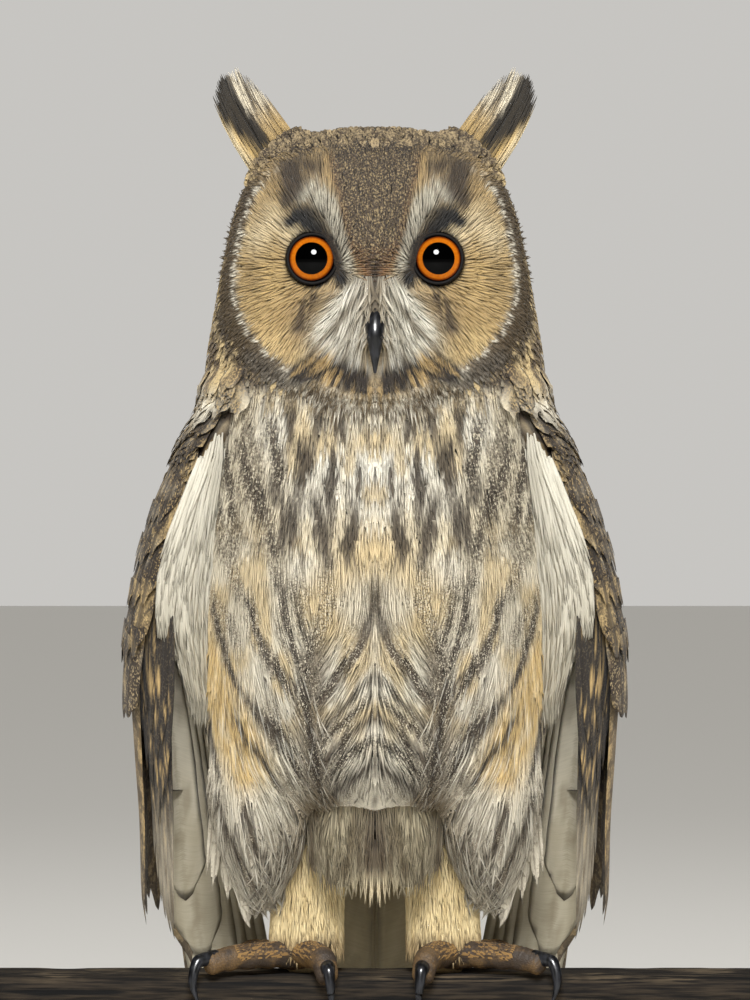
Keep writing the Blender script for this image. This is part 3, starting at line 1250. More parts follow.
def head_colours(points):
    """The head outside the disc: a dark ring, sides streaked cream and brown, and a streaked buff nape."""
    x, y, h = np.moveaxis(points, -1, 0)
    side = np.abs(x)
    share = disc_share(x, h)
    drawn = noise(joined(side, y, h / 3), 3.2, 11)
    colour = mix(BROWN, PALE_BUFF, limited(0.45 + 1.3 * drawn))
    ring = bell(share - 1.05, 0.045) * smooth(-y, 8, 20) * (1 - smooth(h, 262, 286))
    colour = mix(colour, DARK, 0.35 * ring)
    ruff = stroke(side, h, [(24, 204), (33, 205), (43, 212), (52, 222), (56, 236)], 2.2)
    colour = mix(colour, DARK, 0.9 * ruff * smooth(-y, 5, 20))
    top = smooth(h, 282, 292)
    tufted = noise(joined(side, y), 3.0, 12)
    top_colour = mix(mix(DARK, BROWN, 0.6), mix(BUFF, GREY, 0.4), limited(0.1 + 0.9 * tufted))
    colour = mix(colour, top_colour, 0.85 * top)
    return colour, marks_of(0.5 + 0.25 * top, 0.7 * smooth(y, -10, 12), 0.0)


def blotches(side, h, across, down, wide, tall, seed):
    """Soft upright spots on a staggered lattice, each shaken off its place: the nearest one's bell."""
    row = np.floor(h / down)
    found = np.zeros(np.shape(h))
    for step in (-1, 0, 1):
        j = row + step
        for shift in (-1, 0, 1):
            i = np.floor(side / across + 0.5 * (j % 2)) + shift
            key = joined(i, j) + 0.5
            place_x = (i + 0.5 - 0.5 * (j % 2) + 0.4 * noise(key, 1.0, seed)) * across
            place_h = (j + 0.5 + 0.4 * noise(key, 1.0, seed + 1)) * down
            size = 1 + 0.65 * noise(key, 1.0, seed + 2)
            found = np.maximum(found, bell(np.hypot((side - place_x) / (wide * size), (h - place_h) / tall), 1))
    return found


# Long dark lines of the belly and flanks, seen from ahead: x and h of the points that each runs through
LINES = [
    [(57, 131), (55.5, 122), (52.5, 112), (47, 101), (40, 91), (30, 79), (24, 69)],
    [(56, 64), (52.5, 50), (46.4, 38), (40.5, 28)],
    [(46, 62), (42.5, 48), (37, 36)],
    [(35, 150), (32, 134), (30, 121), (24, 108)],
    [(14, 133), (20, 124), (23.5, 114)],
    [(5, 118), (13.5, 109), (20, 100)],
    [(3, 98), (11.5, 91), (19, 84)],
    [(1, 86), (9, 80), (17, 72)],
    [(25.5, 104), (23, 90), (21, 77), (19, 64)],
    [(42, 98), (34.5, 89), (26, 79)],
    [(39, 119), (32, 109), (24.5, 101)],
    [(45, 134), (41, 121), (35, 110), (27, 99)],
    [(50, 92), (43, 82), (34, 70)],
    [(28, 138), (26, 126), (22, 116)],
    [(60, 92), (58, 80), (54, 70)],
]
# Arches across the belly's middle, in the same way: the points, the line's width and its strength
ARCHES = [
    ([(0, 77), (8, 72), (20, 60)], 2.2, 1),
    ([(0, 94), (9, 87), (21, 74)], 1.7, 1),
    ([(0, 108), (8, 100), (20, 86)], 1.4, 0.8),
]
# Dark streaks of the breast's sides, as points in the same way
STREAKS = [
    [(46.5, 184), (42, 172), (39, 161)],
    [(41, 175), (36.5, 163), (34, 151)],
    [(53, 186), (50, 170), (49, 152), (51, 136)],
    [(46, 156), (44.5, 144), (42, 134)],
    [(38, 195), (35, 185), (33, 176)],
    [(56, 168), (55, 150), (56, 136)],
]


def belly_pattern(side, h):
    """The belly and flanks: white, freckled in clouds and crossed by long dark lines that run with the feathers.

    The lines of the sides run down and inwards, those beside the middle outwards, and both meet in a valley.
    Gives the colour, and the share of freckles.
    """
    flat = joined(side, h)
    wander = 1.6 * noise(flat, 14.0, 20)
    flow = np.where(side > 21.5, side - 0.44 * np.minimum(h, 150), side + 0.5 * np.minimum(h, 132) - 40) + wander
    hair = noise(joined(flow, h / 7), 0.9, 22)
    lines = noise(joined(flow, h / 9), 3.6, 23)
    clouds = smooth(noise(joined(flow, h / 2.6), 6.0, 24) + 0.5 * lines + 0.2 * hair, -0.05, 0.6)
    clouds = clouds * (0.3 + 0.7 * smooth(side, 5, 14))
    tint = smooth(noise(flat, 8.0, 19), -0.05, 0.4)
    gold = limited(1.6 * stroke(side, h, [(60, 112), (55, 98), (45, 76)], [6, 9, 8]))
    low = 1 - smooth(h, 104, 134)
    colour = mix(mix(CREAM, WHITE, 0.5 + 0.3 * low), PALE_BUFF, 0.8 * tint * smooth(h, 76, 96))
    colour = mix(colour, GREY, 0.25 + 0.25 * np.clip(hair, -1, 1))
    colour = mix(colour, GREY_BROWN, 0.45 * clouds * (1 - gold))
    valley = stroke(side, h, [(16, 128), (21, 113), (23, 94), (22, 78), (20, 64)], [3, 5, 6, 6, 6])
    colour = mix(colour, mix(BROWN, GREY_BROWN, 0.6 + 0.4 * np.clip(hair, -1, 1)), 0.85 * valley)
    colour = mix(colour, mix(GOLD, CREAM, limited(0.25 + 0.6 * hair)), 0.95 * gold)
    drift = side + 0.9 * noise(flat, 5.0, 43)
    drawn = np.max([stroke(drift, h, line, [1.3] * (len(line) - 1) + [0.8]) for line in LINES], axis=0)
    near = np.max([stroke(drift, h, line, 3.6) for line in LINES], axis=0)
    clouds = np.maximum(clouds, 0.9 * smooth(near + 0.5 * hair, 0.35, 0.8))
    faint = smooth(0.12 + 0.1 * hair - np.abs(lines), 0, 0.14) * smooth(noise(flat, 9.0, 44), -0.2, 0.3)
    dark = np.maximum(smooth(drawn + 0.22 * hair, 0.2, 0.6), 0.75 * faint * (1 - 0.85 * gold))
    colour = mix(colour, mix(DARK, BROWN, 0.15), 0.95 * dark)
    keel = stroke(side, h, [(0, 160), (0.5, 130), (7, 116), (19, 98)], [1.4, 2.2, 2.2, 1.8])
    arches = [keel] + [strength * stroke(side, h, line, width) for line, width, strength in ARCHES]
    colour = mix(colour, mix(DARK, BROWN, 0.3), np.clip(np.max(arches, axis=0) * (1.0 + 0.5 * hair), 0, 0.9))
    return colour, clouds * (1 - 0.9 * gold)


def body_colours(points):
    """Breast, belly and back.

    The breast is cream and buff with soft dark blotches that grow into streaks at the sides. It turns into the
    belly's pattern below. The back is mottled.
    """
    x, y, h = np.moveaxis(points, -1, 0)
    side = np.abs(x)
    flat = joined(side, h)
    broad = noise(flat, 12.0, 21)
    hair = noise(joined(side, h / 7), 1.0, 25)
    sides = smooth(side, 28, 44)
    colour = mix(mix(CREAM, WHITE, 0.3), WHITE, limited(0.5 + 0.8 * broad))
    colour = mix(colour, PALE_BUFF, 0.7 * smooth(noise(flat, 9.0, 18) + 0.3 * hair, 0.05, 0.45) * (1 - 0.5 * sides))
    colour = mix(colour, mix(WHITE, CREAM, 0.5), 0.5 * sides)
    colour = mix(colour, GREY, 0.16 + 0.1 * sides + 0.3 * np.clip(hair, -0.5, 1))
    middle = stroke(side, h, [(0, 152), (12, 143), (20, 134), (15, 124)], [9, 9, 8, 7])
    colour = mix(colour, PALE_BUFF, 0.85 * middle)
    clouds = smooth(noise(joined(side, h / 1.8), 4.5, 26) + 0.3 * hair, -0.1, 0.4) * (0.15 + 0.85 * sides)
    colour = mix(colour, GREY_BROWN, 0.65 * clouds)
    bent_side = side + 1.8 * noise(flat, 9.0, 27) + 0.16 * (h - 180) * sides
    bent_h = h + 3.5 * noise(flat, 13.0, 28)
    spots = blotches(bent_side, bent_h, 10.4, 21.0, 3.7 - 0.6 * sides, 12.5 + 3 * sides, 30)
    spots = spots * smooth(h, 138, 152) * (1 - 0.75 * bell(side, 4.5))
    spots = spots * (1 - smooth(h, 207, 212)) * (1 - 0.6 * sides)
    streaks = np.max([stroke(side + 1.5 * broad, h, line, 1.9) for line in STREAKS], axis=0)
    spots = np.maximum(spots, streaks)
    clouds = np.maximum(clouds, smooth(streaks, 0.02, 0.3))
    dark = np.clip(smooth(spots + 0.3 * hair, 0.12, 0.85), 0, 0.9)
    colour = mix(colour, mix(DARK, BROWN, 0.3), dark)
    below, freckles = belly_pattern(side, h)
    low = 1 - smooth(h + 6 * noise(flat, 8.0, 17) - 12 * sides, 134, 152)
    colour = mix(colour, below, low * (1 - 0.8 * middle))

    back = smooth(y + 22 * smooth(h, 168, 190), 8, 26)
    mottle = noise(joined(side, h / 1.8), 5.5, 29)
    back_colour = mix(DARK, BUFF, limited(0.42 + 0.9 * mottle))
    colour = mix(colour, mix(back_colour, GREY_BROWN, 0.35), back)
    speckle = mix_values(0.75 * clouds, 0.75 * freckles, low)
    marks = (mix_values(*pair, back) for pair in ((speckle, 0.7), (0.1, 0.75), (0.0, 0.45)))
    return colour, marks_of(*marks)


def plume_colours(points):
    """The belly's pattern, browner inside the flank's lobe and over its foot."""
    x, _, h = np.moveaxis(points, -1, 0)
    side = np.abs(x)
    colour, freckles = belly_pattern(side, h)
    colour = mix(colour, mix(GREY_BROWN, BUFF, 0.35), 0.55 * smooth(33 - side, 0, 9) * (1 - smooth(h, 56, 76)))
    colour = mix(colour, GREY_BROWN, 0.4 * (1 - smooth(h, 44, 76)))
    return colour, marks_of(0.5 * freckles, 0.45 * (1 - smooth(h, 100, 124)), 0.0)


def flank_colours(points):
    """The flank's lobe behind its front: the belly's pattern, darker."""
    colour, marks = plume_colours(points)
    return mix(colour, GREY_BROWN, 0.45), marks


def strand_colours(points):
    """Single hair-like barbs over the flank: mostly the ground's colour, here and there dark."""
    colour, _ = plume_colours(points)
    dark = noise(points[:, :1, :1], 1.3, 47) > 0.55
    pale = noise(points[:, :1, :1], 1.7, 48) > 0.2
    colour = mix(colour, DARK, 0.7 * dark)
    return mix(colour, WHITE, 0.35 * pale * ~dark), marks_of(0.0, 0.0, 0.0)


def belly_strand_colours(points):
    """The breast's and belly's pattern with its freckles alone."""
    colour, marks = body_colours(points)
    return colour, marks * [1.2, 0, 0]


def fluff_colours(points):
    """Soft grey-white lobes beside the middle, dark hairs between them, and a cream tuft at the foot."""
    x, _, h = np.moveaxis(points, -1, 0)
    side = np.abs(x)
    drawn = noise(joined(side, h / 7), 1.4, 33)
    colour = mix(srgb(158, 148, 122), srgb(96, 84, 60), limited(0.35 + 0.8 * drawn))
    between = bell(side, 5.5) * smooth(h, 34, 40)
    edge = bell(side - 23, 5)
    colour = mix(colour, mix(GREY_BROWN, BROWN, limited(0.5 + drawn)), np.clip(between + 0.5 * edge, 0, 0.9))
    return mix(colour, CREAM, 0.9 * bell(side, 6) * (1 - smooth(h, 32, 38))), marks_of(0.0, 0.0, 0.0)


def leg_colours(points):
    """Plain cream-buff, darker at the toes."""
    h = points[..., 2]
    drawn = noise(points / np.array([1, 1, 5]), 2.5, 27)
    colour = mix(srgb(226, 206, 158), srgb(206, 182, 130), limited(0.4 + 0.7 * drawn))
    colour = mix(colour, srgb(120, 88, 46), 0.6 * (1 - smooth(h, 10, 15)))
    return colour, marks_of(0.0, 0.0, 0.0)


def wing_colours(points):
    """Dark grey-brown with small buff patches and grey freckles."""
    _, y, h = np.moveaxis(points, -1, 0)
    patches = noise(joined(y, h / 1.5), 5.0, 31)
    fine = noise(joined(y, h / 2.2), 2.4, 32)
    colour = mix(DARK, BROWN, limited(0.5 + fine))
    colour = mix(colour, mix(GOLD, GREY, 0.25), 0.6 * smooth(patches + 0.6 * fine, 0.3, 0.6))
    colour = mix(colour, GREY, 0.45 * smooth(fine - patches, 0.35, 0.7))
    return colour, marks_of(0.5, 0.75, 0.3)


def neck_slope(y):
    """How much higher than in front the head's feathers end at a depth y."""
    return 0.24 * (y + 47)


def neck_colours(points):
    """The head's colours above, which turn into the body's over the neck."""
    above, marks = head_colours(points)
    below, body_marks = body_colours(points)
    share = smooth(points[..., 2] - neck_slope(points[..., 1]), 210, 196)
    return mix(above, below, share), mix(marks, body_marks, share)


def shoulder_colours(points):
    """The neck's streaks above, which turn into the wing's colours."""
    above, marks = neck_colours(points)
    below, wing_marks = wing_colours(points)
    share = smooth(points[..., 2], 204, 184)
    return mix(above, below, share), mix(marks, wing_marks, share)


def skin_colours(points):
    """The coat's own colours at any place of the skin."""
    x, y, h = points.T
    colour, marks = body_colours(points)
    for found, share in (
        (flank_colours(points), smooth(78 - h, 0, 10) * smooth(np.abs(x), 30, 38)),
        (leg_colours(points), smooth(52 - h, 0, 8) * (1 - smooth(np.abs(x), 34, 38))),
        (head_colours(points), smooth(h - 203 - neck_slope(y), -4, 4)),
        (face_colours(x, h), (y < -14) * (1 - smooth(disc_share(x, h), 0.97, 1.03))),
    ):
        colour = mix(colour, found[0], share)
        marks = mix(marks, np.broadcast_to(found[1], marks.shape), share)
    return colour, marks


# Colours alone, of feathers whose marks are the same all over


def wing_shade(points):
    """The wing's own colour, without its marks."""
    return wing_colours(points)[0]


def quill_shade(points):
    """Flight feathers: grey-brown, warmer near the root, greyer at the tip, and striped with black in front."""
    x, y, h = np.moveaxis(points, -1, 0)
    drawn = noise(points / np.array([1, 1, 6]), 3.0, 33)
    colour = mix(mix(GREY_BROWN, BROWN, 0.4), BUFF, limited(0.1 + 0.5 * drawn + 0.2 * smooth(h, 40, 120)))
    colour = mix(colour, GREY, 0.4 * (1 - smooth(h, -60, 30)))
    ahead = smooth(4 + 0.35 * (100 - h) - y, 0, 10) * smooth(h, 24, 50)
    stripes = noise(joined(x + 0.5 * y, y, h / 14), 1.9, 41)
    return mix(colour, mix(BLACK, BUFF, limited(0.3 + 1.6 * stripes)), 0.85 * ahead)


def stripe_shade(points):
    """The narrow feathers along the wing's front edge: black-brown with buff edges, greyer towards their tips."""
    drawn = noise(points / np.array([1, 1, 22]), 1.5, 38)
    colour = mix(mix(BLACK, DARK, 0.5), BUFF, limited(2.2 * drawn - 0.5))
    tip_colour = mix(GREY_BROWN, GREY, limited(0.6 + drawn))
    return mix(colour, tip_colour, 0.85 * (1 - smooth(points[..., 2], 34, 74)))


def pale_shade(points):
    """The undersides of the flight feathers and the lining: white, shaded with grey lower down."""
    drawn = noise(points / np.array([1, 1, 30]), 1.9, 34)
    low = 1 - smooth(points[..., 2], 40, 118)
    colour = mix(srgb(214, 208, 190), srgb(168, 158, 132), limited(0.1 + 0.2 * drawn + 0.72 * low))
    return mix(colour, GREY_BROWN, 0.35 * smooth(drawn, 0.2, 0.6))


def silk_shade(points):
    """The wing's lining: white in soft lengthwise folds, greyer towards its lower end."""
    x, _, h = np.moveaxis(points, -1, 0)
    folds = noise(joined(x - 0.12 * h, h / 16), 4.0, 42)
    low = 1 - smooth(h, 100, 140)
    return mix(srgb(200, 195, 179), srgb(142, 134, 113), limited(0.1 + 0.3 * folds + 0.4 * low))


def tail_shade(points):
    """The tail: grey-brown, buff near the root."""
    drawn = noise(points / np.array([1, 1, 6]), 3.0, 35)
    return mix(GREY_BROWN, BUFF, limited(0.15 + 0.4 * drawn + 0.3 * smooth(points[..., 2], -20, 60)))


def pale_tail(points):
    """The tail from below: smooth grey-brown."""
    drawn = noise(points / np.array([1, 1, 8]), 3, 36)
    return mix(srgb(186, 172, 138), srgb(146, 132, 102), limited(0.5 + drawn))


def under_shade(points):
    """Grey-white down with pale edges, and a cream tuft at its point."""
    x, _, h = np.moveaxis(points, -1, 0)
    colour = mix(srgb(176, 170, 158), WHITE, 0.5 * bell(np.abs(x) - 5, 3.5))
    return mix(colour, CREAM, 1 - smooth(h, 26, 36))


def ear_colours(s, t):
    """A broad black middle, a narrow buff edge outside it, and inside it buff that turns to speckled white."""
    side = s + 0.8 * noise(joined(s, t * 30), 2.0, 37)
    inner = mix(mix(BUFF, GOLD, 0.4), mix(WHITE, CREAM, 0.4), 0.9 * smooth(t, 0.3, 0.62))
    colour = mix(mix(GOLD, CREAM, smooth(side, 5, 9)), inner, smooth(-side, 0, 2))
    half = 4.3 - 1.6 * (1 - smooth(t, 0.05, 0.4)) + 1.2 * smooth(t, 0.7, 1)
    middle = 0.6 + 2.6 * smooth(t, 0.2, 0.9)
    black = smooth(half - np.abs(side - middle), -0.7, 0.7) * smooth(t, 0.06, 0.18)
    flecks = noise(joined(s, t * 36), 1.3, 40)
    white = smooth(-side, 0.5, 2.0) * smooth(t, 0.25, 0.45)
    colour = mix(colour, mix(DARK, BROWN, 0.4), 0.85 * white * smooth(flecks, 0.0, 0.2))
    colour = mix(colour, BLACK, 0.97 * black)
    return colour, 0.3 * (1 - black) * smooth(-side, 0.5, 2.5)


# The skin

# How deep the skin lies inside the coat, and the side of the cells that it is remeshed with, in metres
COAT_DEPTH = {"body": 3.0, "head": 1.6, "face": 0.8, "leg": 1.4}
SKIN_CELL = 0.0018


def trunk_wall():
    """The trunk inside its coat, closed above and below."""
    turn = np.linspace(0, 2 * np.pi, 128, endpoint=False)
    h = np.concatenate([[51.6], np.linspace(53, 296, 150), [298.5, 299.8, 300.4]])
    turns, heights = np.meshgrid(turn, h)
    depth = mix_values(COAT_DEPTH["body"], COAT_DEPTH["head"], smooth(heights, 205, 235))
    sunk = 6 * (1 - smooth(disc_share(trunk(turns, heights)[..., 0], heights), 0.6, 0.98)) * (np.cos(turns) > 0)
    wall = lifted("trunk", turns, heights, -depth)
    wall[..., 1] += sunk
    return wall


def disc_wall():
    """The facial disc inside its bristles: rings out to its rim, closed by a ring deep in the head."""
    turn = np.linspace(0, 2 * np.pi, 144, endpoint=False)
    shares = np.concatenate([[0.004], np.linspace(0.03, 1.0, 44)])
    reach = shares[:, None] * disc_reach(turn)
    x, h = reach * np.cos(turn), FACE["h"] + reach * np.sin(turn)
    wall = face(x, h) + np.array([0, COAT_DEPTH["face"], 0])
    behind = wall[-1:] * np.array([0.93, 1, 1]) + np.array([0, 9, 0])
    behind[..., 2] = FACE["h"] + (behind[..., 2] - FACE["h"]) * 0.93
    deep = np.broadcast_to([0.0, -12.0, FACE["h"]], behind.shape) + (behind - [0, 0, FACE["h"]]) * [0.02, 0, 0.02]
    return np.concatenate([wall, behind, deep])


def make_skin(material):
    """One closed skin from the trunk, disc, flanks and legs, joined by remeshing, in the coat's colours."""
    inset = COAT_DEPTH["leg"]
    turns, leans = np.meshgrid(np.linspace(0, 2 * np.pi, 48, endpoint=False), np.linspace(0.25, math.pi - 0.05, 32))
    lobe = lifted("flank", turns, leans, np.full(turns.shape, -2.4))
    soft = lifted("fluff", turns, leans, np.full(turns.shape, -2.0))
    leg = tube(SHANK + [(24.8, -1, 4)], [r - inset for r in SHANK_RADII] + [8.5], 32, 30)
    walls = [trunk_wall(), disc_wall(), lobe, mirror(lobe), soft, mirror(soft), leg, mirror(leg)]
    skin = closed("skin", walls, material, "body_feathers", "head", "neck", "torso", "leg_left", "leg_right")
    remesh = skin.modifiers.new("one_skin", "REMESH")
    remesh.mode, remesh.voxel_size, remesh.use_smooth_shade = "VOXEL", SKIN_CELL, True
    depsgraph = bpy.context.evaluated_depsgraph_get()
    whole = bpy.data.meshes.new_from_object(skin.evaluated_get(depsgraph))
    skin.modifiers.remove(remesh)
    skin.data = whole
    if not whole.materials:
        whole.materials.append(material)
    paint_points(whole, skin_colours)
    return skin


# The coat, region by region


def make_face(material):
    """Bristles over the disc that lie away from the eye, up the forehead, and down beside the bill in fans."""
    coat = Coat("face_feathers")
    u_span, v_span = (0.0, 54.0), (204.0, 300.0)

    def keep(x, h):
        under_bill = (x < 2.6) & (h < 234) & (h > 212)
        return (disc_share(x, h) < 0.98) & (np.hypot(x - EYE["x"], h - EYE["h"]) > 8.6) & ~under_bill

    x, h, at = rooted("face", u_span, v_span, 1.1, 1, keep)
    away = np.hypot(x - EYE["x"], h - EYE["h"])
    random = np.random.default_rng(2)
    forehead = smooth(wedge_edge(h) - x, -0.5, 1) * smooth(h, 250, 256)
    outward = joined(x - 16.5, 0 * x, h - 250.5)
    outward /= np.linalg.norm(outward, axis=-1, keepdims=True)
    fan = smooth(21 - x, 0, 8) * (1 - smooth(h, 243, 251))
    turn = fan_turn(x, h)
    spread = joined(np.cos(turn) * (0.95 - 0.5 * smooth(turn, 0.7, 1.5)), 0 * x, -np.sin(turn))
    chin = 1 - smooth(h, 207, 212)
    toward = outward * (1 - forehead - fan * (1 - forehead))[:, None]
    toward = toward + forehead[:, None] * np.array([0.0, 0, 1]) + (fan * (1 - forehead))[:, None] * spread
    toward = toward * (1 - chin)[:, None] + chin[:, None] * np.array([0, 0, -1.0])
    toward = toward + random.normal(0, 0.07, toward.shape)
    share, width, high = drawn_from(random, len(x), (0.75, 1.2), (0.75, 1.15), (0, 0.6))
    length = (7.5 + 2.5 * smooth(away, 12, 24)) * (1 - 0.45 * forehead) * share
    length = np.where(away < 13, length * 0.7, length) * (1 + 0.45 * fan)
    coat.grow("face", x, h, at, toward, BRISTLE, length, width * (1 + 0.5 * forehead), -0.8, 0.5 + high + 0.8 * fan,
              face_map, 3, shake=0.5)
    coat.build(material, "head_feathers")

    whiskers = Coat("bill_whiskers")
    x, h = np.meshgrid(np.linspace(0.6, 8.4, 12), np.linspace(233, 249, 11))
    random = np.random.default_rng(12)
    count = x.size
    aside, above = drawn_from(random, count, (-0.3, 0.3), (-0.6, 0.6))
    x, h = x.ravel() + aside, h.ravel() + above
    toward = joined(-0.32 + 0.09 * x, 0 * x, -1 + 0 * x) + random.normal(0, 0.05, (count, 3))
    length, width, high = drawn_from(random, count, (9, 13), (0.8, 1.2), (-1, 0.6))
    whiskers.grow("face", x, h, spread_out(x, h, u_span, v_span), toward, BRISTLE, length + 4 * smooth(h, 232, 244),
                  width, -0.6, 6.5 - 0.35 * x + high, whisker_map, 13, shake=0.4)
    whiskers.build(material, "head_feathers")


# Rings of the disc's edge: share of the way out, and the feathers' length
RIM_RINGS = [(0.94, 3.6), (0.955, 3.8), (0.97, 4.0), (0.99, 4.4), (1.01, 5.0), (1.03, 5.4)]


def make_rim(material):
    """Short stiff feathers round the disc's edge, which turn outwards and back."""
    coat = Coat("disc_rim")
    random = np.random.default_rng(5)
    for ring, (share, length) in enumerate(RIM_RINGS):
        turn = np.arange(-math.pi / 2, 1.2, 0.016) + 0.008 * (ring % 2)
        count = len(turn)
        turn = turn + random.uniform(-0.006, 0.006, count)
        reach = disc_reach(turn) * (share + random.uniform(-0.008, 0.008, count))
        x, h = reach * np.cos(turn), FACE["h"] + reach * np.sin(turn)
        toward = joined(np.cos(turn), 0 * turn, np.sin(turn) - 0.35) + random.normal(0, 0.1, (count, 3))
        part, width, high = drawn_from(random, count, (0.8, 1.15), (0.9, 1.4), (0.9, 1.7))
        at = spread_out(x, h, (0, 56), (200, 300))
        coat.grow("face", x, h, at, toward, BRISTLE, length * part, width, -0.3, high, face_map, 60 + ring,
                  shake=0.2)
    return coat.build(material, "head_feathers")


def make_head(material):
    """Small feathers over the crown, the head's sides and the nape, tufted in front of and round the ears."""

    def on_side(angle, h):
        here = trunk(angle, h)
        clear = (disc_share(here[:, 0], h) > 1.0) | (here[:, 1] > -12)
        return clear & (h > 199 + neck_slope(here[:, 1]))

    def on_top(x, y):
        height = crown(x, y)[:, 2]
        return (height > 280) & ~((y < -20) & (disc_share(x, height) < 0.94))

    coat = Coat("head_feathers")
    angle, h, at = rooted("trunk", (0.0, math.pi), (200.0, 286.0), 2.9, 7, on_side)
    random = np.random.default_rng(8)
    toward = falling(random, len(h), 0.08) + np.array([0, 0.35, 0])
    length, width = drawn_from(random, len(h), (8, 11), (3.0, 4.2))
    coat.grow("trunk", angle, h, at, toward, SMALL, length, width, -1.5, 0.7, neck_colours, 9, shake=1.6)

    x, y, at = rooted("crown", (0.0, 44.0), (-40.0, 32.0), 2.3, 10, on_top)
    count = len(x)
    toward = joined(0.25 * x / 40, np.ones(count), -0.2 * np.ones(count))
    toward = toward + random.normal(0, 0.14, (count, 3))
    tuft = bell(x - 31, 8) * bell(y + 12, 16)
    ahead = smooth(-y, 14, 30)
    raised = np.maximum(tuft, 0.5 * ahead)[:, None]
    toward = toward * (1 - 0.8 * raised) + 0.9 * raised * np.array([0.0, 0.2, 1.0])
    high, length = drawn_from(random, count, (-0.3, 1.0), (6, 8.5))
    coat.grow("crown", x, y, at * [1, 0.25] + [0, 0.74], toward, SMALL, length, 2.8, -1.2,
              0.8 + 4.2 * tuft + 1.0 * ahead + high, head_colours, 11, shake=0.8)
    return coat.build(material, "head_feathers")


def breast_heading(x, h):
    """Down the breast. Lower, feathers beside the middle turn outwards, and those of the sides turn inwards."""
    side = np.abs(x)
    inward = (1 - smooth(h, 120, 168)) * smooth(side, 19, 27) * 0.52
    outward = (1 - smooth(h, 126, 142)) * (1 - smooth(side, 15, 21)) * smooth(side, 0, 3) * smooth(h, 68, 84) * 0.55
    return joined((outward - inward) * np.sign(x + 1e-6), 0 * x, -np.ones(np.shape(x)))


def clear_of_flank(angle, h):
    """Where the belly's feathers aren't hidden under the flank's."""
    return (h > 96) | (trunk(angle, h)[:, 0] < 24)


def make_body(name, material, shape, heights, gap, length, width, lifts, seed, max_turn=1.75,
              colours=body_colours, keep=None):
    """Feathers over the front of the trunk, from its middle line round to the wing."""
    coat = Coat(name)
    angle, h, at = rooted("trunk", (0.0, max_turn), heights, gap, seed, keep)
    x = trunk(angle, h)[:, 0]
    random = np.random.default_rng(seed + 1)
    toward = breast_heading(x, h) + random.normal(0, 0.06, (len(h), 3))
    lengths, widths = drawn_from(random, len(h), length, width)
    hang = 3.5 * (1 - smooth(h, 62, 84))
    coat.grow("trunk", angle, h, at, toward, shape, lengths, widths, lifts[0], lifts[1] + hang, colours, seed + 2,
              shake=1.2)
    return coat.build(material, "body_feathers")


# Long plumes of the belly and flank: x and h of the root and of the tip, how far the line bows outwards, and width
BELLY_PLUMES = [
    [55, 152, 44, 96, 3, 11], [47, 148, 30, 92, 3, 11], [40, 158, 24, 104, 3, 10], [52, 130, 27, 70, 4, 12],
    [43, 132, 22, 80, 3, 11], [56, 166, 50, 118, 2, 10], [35, 140, 21, 94, 3, 10], [56, 118, 38, 66, 3, 11],
    [48, 112, 29, 62, 3, 11], [33, 112, 20, 64, 2, 10], [2, 146, 7, 108, 1, 9], [4, 132, 20, 88, 3, 10],
    [9, 144, 23, 106, 3, 9], [3, 116, 15, 78, 2, 9], [6, 104, 19, 68, 2, 9], [53, 84, 41, 26, 4, 11],
    [50, 92, 34, 38, 4, 11], [45, 86, 28, 46, 3, 10], [54, 74, 46, 31, 3, 10], [46, 72, 38, 30, 2, 10],
    [41, 78, 27, 50, 2, 9], [38, 96, 22, 58, 3, 10], [52, 104, 36, 54, 4, 11],
]


def make_plumes(material):
    """The long plumes, each with a sister a little beside and above it."""
    coat = Coat("belly_plumes")
    for sister in (1, 0):
        x0, h0, x1, h1, bow, width = np.array(BELLY_PLUMES, float).T
        random = np.random.default_rng(44 + sister)
        shift = sister * 4.5 * np.where(x0 > 20, 0.6, 0.0)
        x0, h0 = np.minimum(x0 + shift, 56), h0 + 4.5 * sister + random.uniform(-2, 2, len(x0))
        toward = joined(x1 + shift - x0, 0 * x0, h1 + 4.5 * sister - h0)
        length = np.linalg.norm(toward, axis=-1)
        at = joined(0.5 + 0.48 * x0 / 62, h0 / 220)
        coat.grow("apron", x0, h0, at, toward, PLUME, length, width, -1.0, 1.8 - sister, plume_colours, 46,
                  shake=0.8, bend=-bow)
    return coat.build(material, "body_feathers")


def make_belly_strands(material):
    """Fine barbs over the belly, which lie with its feathers and break up their outlines."""
    coat = Coat("belly_strands")
    x, h, at = rooted("apron", (0.0, 57.0), (70.0, 152.0), 1.65, 93)
    random = np.random.default_rng(94)
    toward = breast_heading(x, h) + random.normal(0, 0.07, (len(x), 3))
    length, width, high, bend = drawn_from(random, len(x), (11, 17), (0.6, 1.0), (1.2, 2.8), (-1, 1))
    coat.grow("apron", x, h, at, toward, BRISTLE, length - 5 * (1 - smooth(h, 74, 90)), width, 0.3, high,
              belly_strand_colours, 95, shake=0.4, root_dim=0.95, bend=bend)
    return coat.build(material, "body_feathers")


